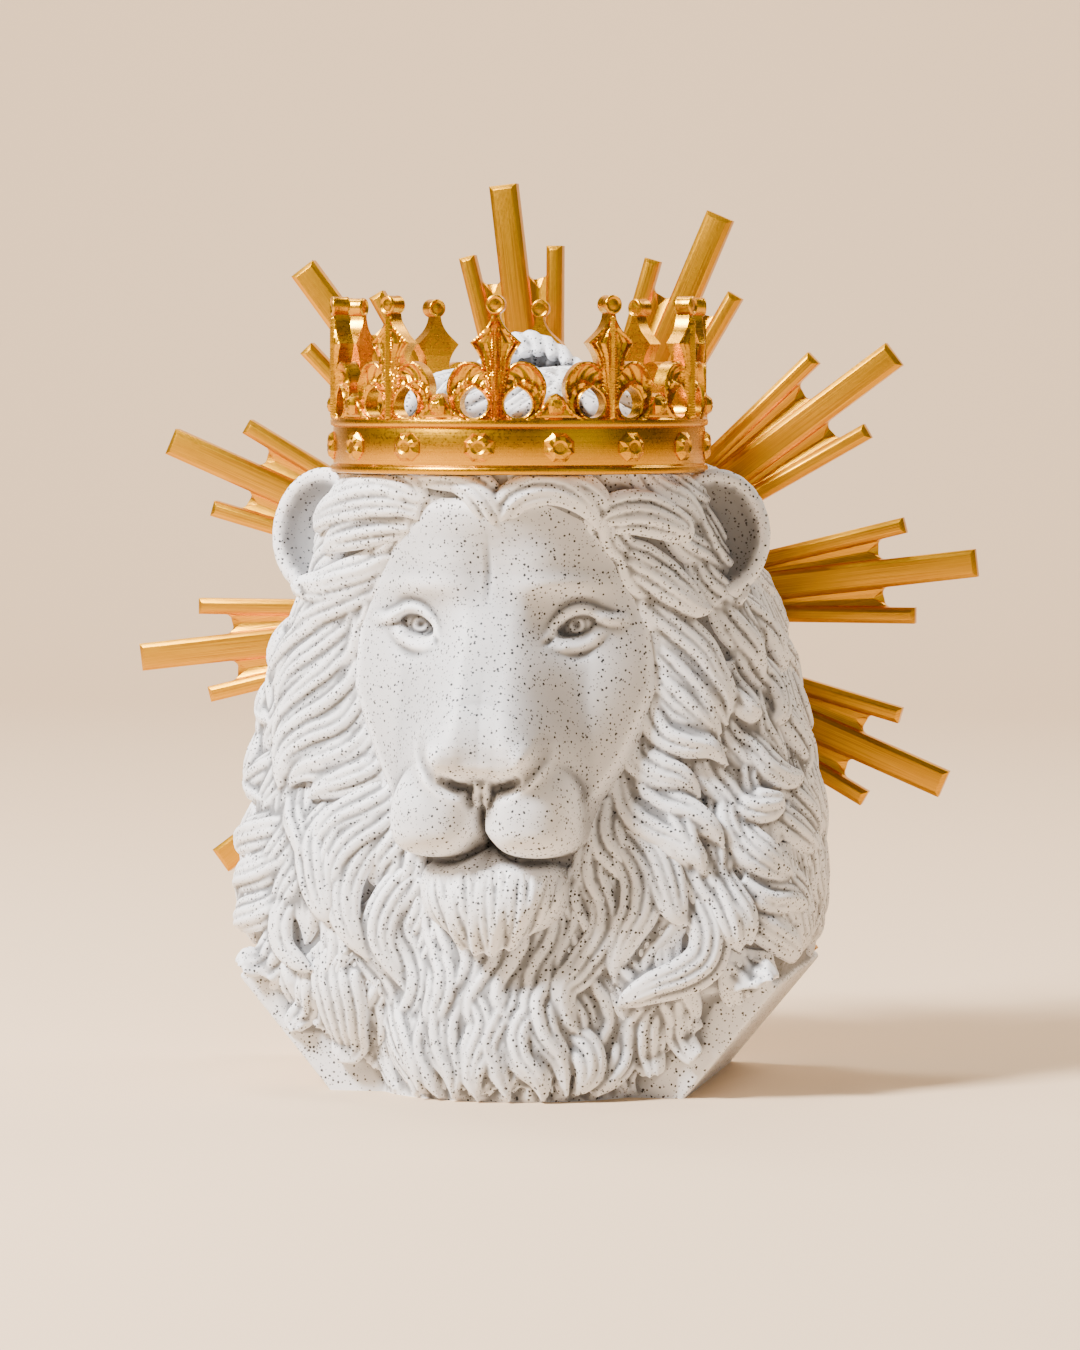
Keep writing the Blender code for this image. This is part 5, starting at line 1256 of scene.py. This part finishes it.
# the band's section: radius and height
bandProfile = ((48.0, 0.3), (48.3, 0.0), (52.0, 0.0), (52.45, 0.25), (52.6, 0.7), (52.6, 1.4), (52.45, 1.9),
               (52.1, 2.15), (51.85, 2.2), (51.65, 2.45), (51.8, 2.75), (51.8, 12.3), (51.65, 12.6),
               (51.9, 12.8), (52.1, 12.85), (52.45, 13.05), (52.6, 13.5), (52.6, 14.3), (52.45, 14.75),
               (52.0, 15.0), (51.6, 15.05), (48.3, 15.05), (48.0, 14.8))


def bandMesh():
    count = 288
    verts, faces = [], []
    for i in range(count):
        angle = 2 * math.pi * i / count
        verts += [(r * math.sin(angle), -r * math.cos(angle), crown["bottom"] + z) for r, z in bandProfile]
    n = len(bandProfile)
    for i in range(count):
        for k in range(n):
            a, b = i * n + k, i * n + (k + 1) % n
            c, d = (i + 1) % count * n + (k + 1) % n, (i + 1) % count * n + k
            faces.append((a, d, c, b))
    mesh = meshFrom("band", np.array(verts) * mm, faces)
    for vert in mesh.vertices:
        vert.co.y += crown["centreY"] * mm
    return outward(mesh)


def buildCrown(material):
    centre = (0, crown["centreY"], 0)
    up = (0, 0, 1)
    between = crown["finialTurn"] + 180 / crown["finials"]
    parts = []
    peak = stoneMesh(peakStone["size"], crown["band"] + peakStone["height"], peakStone["rings"],
                     peakStone["corners"], 0)
    stone = stoneMesh(bandStone["size"], bandStone["height"], bandStone["rings"], bandStone["corners"], 0)
    # what goes round, how often, from which angle, and the angle above which an edge is sharp
    for mesh, count, turn, angle in ((finialMesh(), crown["finials"], crown["finialTurn"], 40),
                                     (mountMesh(), crown["finials"], between, 40),
                                     (ballMesh(), crown["finials"], crown["finialTurn"], 40),
                                     (peak, crown["finials"], between, 12),
                                     (stone, crown["bandGems"], crown["bandGemTurn"], 12)):
        shadeSmooth(mesh, angle)
        parts.append(ringOf(mesh, count, turn, up, centre, material))
    band = bandMesh()
    shadeSmooth(band, 40)
    parts.append(band)
    obj = joined("crownRing", parts, material)
    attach(obj, "root")
    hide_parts("crown")
    print("crown:", len(obj.data.polygons), "faces")
    return obj


# The sunburst: one group of three rays is drawn pointing up, then copied round.

sun = {"centreX": -3.0, "centreZ": 130.3, "turn": -6.8, "groups": 12, "front": 58.3, "thick": 5.6,
       "start": 52.3, "mainHalf": 4.0, "mainEnd": 124.5, "sideHalf": 2.3, "sideEnd": 106.0, "sideAngle": 7.1,
       "slope": 1.25, "drop": 1.15, "web": 2.3, "scoop": 0.9, "webEnd": 96.3, "corner": 1.9, "soft": 0.2}


def alongRay(reach, aside, angle=0.0):
    turn = math.radians(angle)
    return (reach * math.sin(turn) + aside * math.cos(turn), reach * math.cos(turn) - aside * math.sin(turn))


def rayGroup():
    half, sideHalf, tilt = sun["mainHalf"], sun["sideHalf"], sun["sideAngle"]
    start, webEnd, corner, slope = sun["start"], sun["webEnd"], sun["corner"], sun["slope"]
    drop, web = sun["drop"], sun["web"]
    places, loops = [], []

    def take(spots, closed=False):
        ids = []
        for spot in spots:
            known = [i for i, p in enumerate(places) if abs(p[0] - spot[0]) + abs(p[1] - spot[1]) < 1e-4]
            ids.append(known[0] if known else len(places))
            if not known:
                places.append(spot)
        loops.extend(zip(ids, ids[1:] + (ids[:1] if closed else [])))
        return ids

    def onSide(reach, aside, depth):
        return (*alongRay(reach, aside, tilt), depth)

    turns = [math.pi / 2 * i / 5 for i in range(6)]
    floor = drop + web
    # right half of the outline: across, up and depth
    mainTip = (half, sun["mainEnd"], drop)
    mainCurve = [(half + corner * (1 - math.cos(t)), webEnd + corner * (1 - math.sin(t)),
                  drop + (web + sun["scoop"]) * math.sin(t) ** 0.7) for t in turns]
    sideCurve = [onSide(webEnd + 0.5 + corner * (1 - math.cos(t)), -sideHalf - corner * (1 - math.sin(t)),
                        drop + (web + sun["scoop"]) * math.cos(t) ** 0.7) for t in turns]
    sideTips = [onSide(sun["sideEnd"], -sideHalf, drop), onSide(sun["sideEnd"], sideHalf, drop)]
    sideFoot = [onSide(start, aside, depth) for aside, depth in
                ((sideHalf, drop), (sideHalf - slope, 0.0), (slope - sideHalf, 0.0), (-sideHalf, drop))]
    base = sideFoot[3][1] - 0.4
    mainFoot = [(half, base, drop), (half - slope, base, 0.0)]
    creaseFoot = ((sideFoot[3][0] + half) / 2, (sideFoot[3][1] + base) / 2, drop + 0.1)
    creaseTop = ((mainCurve[5][0] + sideCurve[0][0]) / 2, (mainCurve[5][1] + sideCurve[0][1]) / 2 - 3.0, floor)
    right = [mainTip] + mainCurve + sideCurve + sideTips + sideFoot + [creaseFoot] + mainFoot
    border = take(right + [(-x, z, d) for x, z, d in reversed(right)], True)
    # flat tops with sloping edges and hipped ends, and the hollows between the rays
    mainRoof = (half - slope, sun["mainEnd"] - slope, 0.0)
    sideRoof = [onSide(sun["sideEnd"] - slope, slope - sideHalf, 0.0),
                onSide(sun["sideEnd"] - slope, sideHalf - slope, 0.0)]
    for side in (1, -1):
        for line in ((mainFoot[1], mainRoof, mainTip), (mainFoot[0], mainCurve[0]), (sideFoot[3], sideCurve[5]),
                     (sideFoot[2], sideRoof[0], sideTips[0]), (sideFoot[1], sideRoof[1], sideTips[1]), sideRoof,
                     (creaseFoot, creaseTop, mainCurve[5]), (creaseTop, sideCurve[0])):
            take([(side * x, z, d) for x, z, d in line])
    take([(-mainRoof[0], *mainRoof[1:]), mainRoof])
    return places, loops, border


def rayGroupMesh():
    places, lines, border = rayGroup()
    flat = np.array([p[:2] for p in places])
    outer = flat[border]
    fronts = filled(flat, list(lines), outer, [])
    edges = [(i, (i + 1) % len(border)) for i in range(len(border))]
    backs = filled(outer, edges, outer, [])
    count = len(places)
    verts = [(x, sun["front"] + d, z) for x, z, d in places]
    verts += [(places[i][0], sun["front"] + sun["thick"], places[i][1]) for i in border]
    faces = [tuple(t) for t in fronts] + [tuple(count + i for i in reversed(t)) for t in backs]
    faces += [(border[a], border[b], count + b, count + a) for a, b in edges]
    # a plain web carries the group to the hub
    tilt, half = sun["sideAngle"], sun["sideHalf"]
    foot = [alongRay(38, half, tilt), alongRay(sun["start"] + 2, half - 0.05, tilt),
            alongRay(sun["start"] + 2, 0.05 - half, -tilt), alongRay(38, -half, -tilt)]
    first = len(verts)
    verts += [(x, sun["front"] + sun["drop"] + 0.4, z) for x, z in foot]
    verts += [(x, sun["front"] + sun["thick"] - 0.05, z) for x, z in foot]
    faces += [tuple(first + i for i in range(4)), tuple(first + 7 - i for i in range(4))]
    faces += [(first + i, first + (i + 1) % 4, first + 4 + (i + 1) % 4, first + 4 + i) for i in range(4)]
    bm = bmesh.new()
    bm.from_mesh(meshFrom("rays", np.array(verts) * mm, faces))
    bmesh.ops.recalc_face_normals(bm, faces=bm.faces)
    bmesh.ops.dissolve_limit(bm, angle_limit=math.radians(1.5), verts=bm.verts, edges=bm.edges)
    mesh = bpy.data.meshes.new("rays")
    bm.to_mesh(mesh)
    bm.free()
    obj = addObject("rays", mesh)
    soft = obj.modifiers.new("soft", "BEVEL")
    soft.width = sun["soft"] * mm
    soft.segments = 2
    soft.limit_method = "ANGLE"
    soft.angle_limit = math.radians(20)
    mesh = finalMesh(obj)
    # the grain runs along each ray: UV is across and along, in millimetres
    uv = mesh.uv_layers.new(name="grain")
    for face in mesh.polygons:
        x, z = face.center.x / mm, face.center.z / mm
        side = math.copysign(1, x)
        turn = math.radians(sun["sideAngle"])
        aside = abs(x) * math.cos(turn) - z * math.sin(turn)
        tilted = aside > -sun["sideHalf"] - 0.05
        for index in face.loop_indices:
            p = mesh.vertices[mesh.loops[index].vertex_index].co / mm
            if tilted:
                px = abs(p.x) * math.cos(turn) - p.z * math.sin(turn)
                pz = abs(p.x) * math.sin(turn) + p.z * math.cos(turn)
                uv.data[index].uv = (side * (px + 30) + p.y * 0.7, pz)
            else:
                uv.data[index].uv = (p.x + p.y * 0.7, p.z)
    return mesh


def hubMesh():
    # a plain disc behind the head
    back = sun["front"] + sun["thick"]
    low = sun["front"] + sun["drop"] + 0.5
    profile = ((0, back - 0.1), (40.0, back - 0.1), (40.6, back - 0.7), (40.6, low + 0.6), (40.0, low),
               (0, low))
    mesh = turned(profile, 144, lambda a, b, h: (sun["centreX"] + a, h, sun["centreZ"] + b))
    uv = mesh.uv_layers.new(name="grain")
    for loop in mesh.loops:
        p = mesh.vertices[loop.vertex_index].co / mm
        uv.data[loop.index].uv = (p.x, p.z)
    return outward(mesh)


def buildSun(material):
    rays = rayGroupMesh()
    shadeSmooth(rays, 25)
    ring = ringOf(rays, sun["groups"], sun["turn"], (0, 1, 0), (sun["centreX"], 0, sun["centreZ"]), material)
    hub = hubMesh()
    shadeSmooth(hub, 40)
    obj = joined("sunRays", [ring, hub], material)
    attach(obj, "root")
    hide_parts("sunburst")
    print("sunburst:", len(obj.data.polygons), "faces")
    return obj


# Finishes

def group(name, given, put):
    tree = bpy.data.node_groups.new(name, "ShaderNodeTree")
    for label, kind, value in given:
        socket = tree.interface.new_socket(label, in_out="INPUT", socket_type=kind)
        if value is not None:
            socket.default_value = value
    for label in put:
        tree.interface.new_socket(label, in_out="OUTPUT", socket_type="NodeSocketFloat")
    return tree, tree.nodes.new("NodeGroupInput"), tree.nodes.new("NodeGroupOutput")


def add(tree, kind, settings=(), **values):
    node = tree.nodes.new(kind)
    for name, value in dict(settings).items():
        setattr(node, name, value)
    for name, value in values.items():
        socket = node.inputs[int(name[1:])] if name[0] == "i" and name[1:].isdigit() else node.inputs[name]
        if isinstance(value, bpy.types.NodeSocket):
            tree.links.new(value, socket)
        else:
            socket.default_value = value
    return node


def printLinesGroup():
    # the fine layers of a printed part, and the small unevenness between them
    inputs = (("Place", "NodeSocketVector", None), ("Layers", "NodeSocketFloat", 3000.0),
              ("Waver", "NodeSocketFloat", 0.3))
    tree, given, put = group("printLines", inputs, ("Lines", "Streaks"))
    often = given.outputs["Layers"]
    apart = add(tree, "ShaderNodeSeparateXYZ", i0=given.outputs["Place"])
    broad = add(tree, "ShaderNodeTexNoise", Vector=given.outputs["Place"], Scale=60.0, Detail=2.0)
    layers = add(tree, "ShaderNodeMath", {"operation": "MULTIPLY"}, i0=apart.outputs[2], i1=often)
    waver = add(tree, "ShaderNodeMath", {"operation": "MULTIPLY_ADD"}, i0=broad.outputs[0],
                i1=given.outputs["Waver"], i2=layers.outputs[0])
    wave = add(tree, "ShaderNodeMath", {"operation": "SINE"}, i0=waver.outputs[0])
    lines = add(tree, "ShaderNodeMath", {"operation": "MULTIPLY_ADD"}, i0=wave.outputs[0], i1=0.5, i2=0.5)
    tree.links.new(lines.outputs[0], put.inputs["Lines"])
    # streaks: noise drawn out along the layers
    level = add(tree, "ShaderNodeMath", {"operation": "MULTIPLY"}, i0=apart.outputs[2], i1=0.22)
    levels = add(tree, "ShaderNodeMath", {"operation": "MULTIPLY"}, i0=level.outputs[0], i1=often)
    sideways = add(tree, "ShaderNodeVectorMath", {"operation": "SCALE"}, i0=given.outputs["Place"], Scale=25.0)
    flatten = add(tree, "ShaderNodeSeparateXYZ", i0=sideways.outputs[0])
    drawnOut = add(tree, "ShaderNodeCombineXYZ", i0=flatten.outputs[0], i1=flatten.outputs[1],
                   i2=levels.outputs[0])
    streaks = add(tree, "ShaderNodeTexNoise", Vector=drawnOut.outputs[0], Scale=1.0, Detail=3.0, Roughness=0.6)
    tree.links.new(streaks.outputs[0], put.inputs["Streaks"])
    return tree


# the groove and ridge tones are painted shade in the grooves and painted light on the ridges
marble = {"colour": (0.76, 0.77, 0.80, 1), "speck": (0.03, 0.032, 0.04, 1), "faint": (0.22, 0.225, 0.25, 1),
          "roughness": 0.52, "layers": 2 * math.pi / 0.0002, "paintedGrooveShade": 0.24, "paintedRidgeLight": 1.12,
          # dark specks, then faint ones: spacing in metres, size and share of the cells that hold one
          "specks": ((0.00115, 0.32, 0.8), (0.0009, 0.26, 0.8))}


def marblePrint():
    material = bpy.data.materials.new("marblePrint")
    material.use_nodes = True
    tree = material.node_tree
    shader = tree.nodes["Principled BSDF"]
    coordinates = tree.nodes.new("ShaderNodeTexCoord").outputs["Object"]
    printed = add(tree, "ShaderNodeGroup", {"node_tree": printLines}, Place=coordinates,
                  Layers=marble["layers"], Waver=3.0)
    bend = add(tree, "ShaderNodeTexNoise", Vector=coordinates, Scale=1500.0, Detail=2.0)
    shift = add(tree, "ShaderNodeVectorMath", {"operation": "MULTIPLY_ADD"}, i0=bend.outputs["Color"],
                i1=(0.0006, 0.0006, 0.0004), i2=coordinates)
    masks = []
    for cell, size, share in marble["specks"]:
        cells = add(tree, "ShaderNodeTexVoronoi", Vector=shift.outputs[0], Scale=1 / cell)
        chance = add(tree, "ShaderNodeSeparateColor", i0=cells.outputs["Color"])
        # how large this cell's grain is, and nothing in the cells that have none
        reach = add(tree, "ShaderNodeMapRange", i0=chance.outputs[0], i1=1 - share, i2=1 - 0.3 * share,
                    i3=0.0, i4=size)
        inside = add(tree, "ShaderNodeMath", {"operation": "SUBTRACT"}, i0=reach.outputs[0],
                     i1=cells.outputs["Distance"])
        masks.append(add(tree, "ShaderNodeMapRange", i0=inside.outputs[0], i1=-0.02, i2=0.03, i3=0.0, i4=1.0))
    cloud = add(tree, "ShaderNodeTexNoise", Vector=coordinates, Scale=45.0, Detail=3.0)
    tone = add(tree, "ShaderNodeMapRange", i0=cloud.outputs[0], i1=0.3, i2=0.7, i3=0.96, i4=1.03)
    base = add(tree, "ShaderNodeMix", {"data_type": "RGBA", "blend_type": "MULTIPLY"}, Factor=1.0)
    base.inputs[6].default_value = marble["colour"]
    tree.links.new(tone.outputs[0], base.inputs[7])
    faint = add(tree, "ShaderNodeMix", {"data_type": "RGBA"}, Factor=masks[1].outputs[0])
    tree.links.new(base.outputs[2], faint.inputs[6])
    faint.inputs[7].default_value = marble["faint"]
    dark = add(tree, "ShaderNodeMix", {"data_type": "RGBA"}, Factor=masks[0].outputs[0])
    tree.links.new(faint.outputs[2], dark.inputs[6])
    dark.inputs[7].default_value = marble["speck"]
    # painted shade, darker in the grooves, and painted light, lighter on the ridges
    deep = add(tree, "ShaderNodeAttribute", {"attribute_type": "GEOMETRY", "attribute_name": "grooveShade"})
    shade = add(tree, "ShaderNodeMapRange", {"interpolation_type": "SMOOTHSTEP"}, i0=deep.outputs["Fac"],
                i1=0.1, i2=1.0, i3=marble["paintedRidgeLight"], i4=marble["paintedGrooveShade"])
    shaded = add(tree, "ShaderNodeMix", {"data_type": "RGBA", "blend_type": "MULTIPLY"}, Factor=1.0)
    tree.links.new(dark.outputs[2], shaded.inputs[6])
    tree.links.new(shade.outputs[0], shaded.inputs[7])
    tree.links.new(shaded.outputs[2], shader.inputs["Base Color"])
    grain = add(tree, "ShaderNodeTexNoise", Vector=coordinates, Scale=900.0, Detail=3.0)
    rough = add(tree, "ShaderNodeMapRange", i0=grain.outputs[0], i1=0.25, i2=0.75,
                i3=marble["roughness"] - 0.06, i4=marble["roughness"] + 0.06)
    tree.links.new(rough.outputs[0], shader.inputs["Roughness"])
    height = add(tree, "ShaderNodeMath", {"operation": "MULTIPLY_ADD"}, i0=printed.outputs["Lines"], i1=0.35,
                 i2=grain.outputs[0])
    bump = add(tree, "ShaderNodeBump", Strength=0.22, Distance=0.00012, Height=height.outputs[0])
    tree.links.new(bump.outputs[0], shader.inputs["Normal"])
    shader.inputs["Subsurface Weight"].default_value = 0.08
    shader.inputs["Subsurface Radius"].default_value = (0.6, 0.5, 0.45)
    shader.inputs["Subsurface Scale"].default_value = 0.003
    shader.inputs["Specular IOR Level"].default_value = 0.42
    return material


gold = {"light": (0.78, 0.40, 0.002, 1), "deep": (0.46, 0.18, 0.001, 1),
        # roughness, metal, layers, line height, strength of the streaks and strength of the bump
        "crown": (0.28, 1.0, 2 * math.pi / 0.0002, 0.25, 0.5, 0.14),
        "rays": (0.34, 0.95, 2 * math.pi / 0.0004, 0.3, 1.0, 0.35)}


def goldPrint(name, alongUV, roughness, metal, layers, lineBump, streaks, bumpStrength):
    material = bpy.data.materials.new(name)
    material.use_nodes = True
    tree = material.node_tree
    shader = tree.nodes["Principled BSDF"]
    coordinates = tree.nodes.new("ShaderNodeTexCoord")
    where = coordinates.outputs["Object"]
    if alongUV:
        # grain along the ray: across becomes the height that the lines are read from
        flat = add(tree, "ShaderNodeSeparateXYZ", i0=coordinates.outputs["UV"])
        along = add(tree, "ShaderNodeCombineXYZ", i0=flat.outputs[1], i1=0.0, i2=flat.outputs[0])
        scaled = add(tree, "ShaderNodeVectorMath", {"operation": "SCALE"}, i0=along.outputs[0], Scale=0.001)
        lined = scaled.outputs[0]
    else:
        lined = where
    printed = add(tree, "ShaderNodeGroup", {"node_tree": printLines}, Place=lined, Layers=layers, Waver=1.5)
    streak = add(tree, "ShaderNodeMapRange", i0=printed.outputs["Streaks"], i1=0.3, i2=0.7,
                 i3=0.5 - streaks / 2, i4=0.5 + streaks / 2)
    colour = add(tree, "ShaderNodeMix", {"data_type": "RGBA"}, Factor=streak.outputs[0])
    colour.inputs[6].default_value = gold["deep"]
    colour.inputs[7].default_value = gold["light"]
    tree.links.new(colour.outputs[2], shader.inputs["Base Color"])
    grain = add(tree, "ShaderNodeTexNoise", Vector=where, Scale=1200.0, Detail=2.0)
    both = add(tree, "ShaderNodeMath", {"operation": "MULTIPLY_ADD"}, i0=printed.outputs["Streaks"], i1=0.5,
               i2=grain.outputs[0])
    rough = add(tree, "ShaderNodeMapRange", i0=both.outputs[0], i1=0.4, i2=1.1, i3=roughness - 0.06,
                i4=roughness + 0.08)
    tree.links.new(rough.outputs[0], shader.inputs["Roughness"])
    height = add(tree, "ShaderNodeMath", {"operation": "MULTIPLY_ADD"}, i0=printed.outputs["Lines"],
                 i1=lineBump, i2=printed.outputs["Streaks"])
    bump = add(tree, "ShaderNodeBump", Strength=bumpStrength, Distance=0.00015, Height=height.outputs[0])
    tree.links.new(bump.outputs[0], shader.inputs["Normal"])
    shader.inputs["Metallic"].default_value = metal
    return material


# Floor, backdrop and light

# in metres: the sheet's front edge and half width, the wall's place, its bend and its top; then the world,
# and the lamps: place, size, power, colour and what they point at
studio = {"paper": (0.72, 0.54, 0.36, 1), "floorFront": -12.0, "half": 12.0, "wall": 2.6, "bend": 0.9,
          "top": 5.0, "world": (1.0, 0.92, 0.80, 1), "worldStrength": 0.16,
          "lamps": {"key": ((-1.05, -0.9, 1.4), (0.4, 0.4), 138, (1.0, 0.97, 0.95)),
                    "fill": ((1.3, -1.2, 0.6), (1.2, 1.2), 3, (0.86, 0.93, 1.0)),
                    "rim": ((0.7, 0.7, 1.2), (0.6, 0.6), 11, (1.0, 0.92, 0.80)),
                    "wall": ((-0.8, 1.0, 2.6), (1.6, 1.0), 100, (1.0, 0.93, 0.84), (0, 2.6, 0.5))}}


def buildStudio():
    # one sheet that runs from the floor up behind the object
    profile = [(studio["floorFront"], 0.0), (studio["wall"] - studio["bend"], 0.0)]
    for i in range(1, 13):
        angle = math.pi / 2 * i / 12
        profile.append((studio["wall"] - studio["bend"] + studio["bend"] * math.sin(angle),
                        studio["bend"] * (1 - math.cos(angle))))
    profile.append((studio["wall"], studio["top"]))
    verts, faces = [], []
    for y, z in profile:
        verts += [(-studio["half"], y, z), (studio["half"], y, z)]
    for i in range(len(profile) - 1):
        faces.append((2 * i, 2 * i + 1, 2 * i + 3, 2 * i + 2))
    mesh = meshFrom("paper", verts, faces)
    mesh.shade_smooth()
    material = bpy.data.materials.new("paper")
    material.use_nodes = True
    shader = material.node_tree.nodes["Principled BSDF"]
    shader.inputs["Base Color"].default_value = studio["paper"]
    shader.inputs["Roughness"].default_value = 0.9
    addObject("paper", mesh, material)


def addLamp(name, place, size, power, colour, aim=(0, 0, 0.12)):
    data = bpy.data.lights.new(name, "AREA")
    data.shape = "RECTANGLE"
    data.size, data.size_y = size
    data.energy = power
    data.color = colour
    lamp = bpy.data.objects.new(name, data)
    scene.collection.objects.link(lamp)
    lamp.location = place
    lamp.visible_camera = False
    lamp.rotation_euler = (Vector(aim) - Vector(place)).to_track_quat("-Z", "Y").to_euler()


def buildLight():
    world = bpy.data.worlds.new("studio")
    scene.world = world
    world.use_nodes = True
    background = world.node_tree.nodes["Background"]
    background.inputs["Color"].default_value = studio["world"]
    background.inputs["Strength"].default_value = studio["worldStrength"]
    for name, values in studio["lamps"].items():
        addLamp(name, *values)


ringCopies = ringTree()
printLines = printLinesGroup()
buildHead(marblePrint())
buildCrown(goldPrint("goldCrown", False, *gold["crown"]))
buildSun(goldPrint("goldRays", True, *gold["rays"]))
buildStudio()
buildLight()
print("studio and light ready")
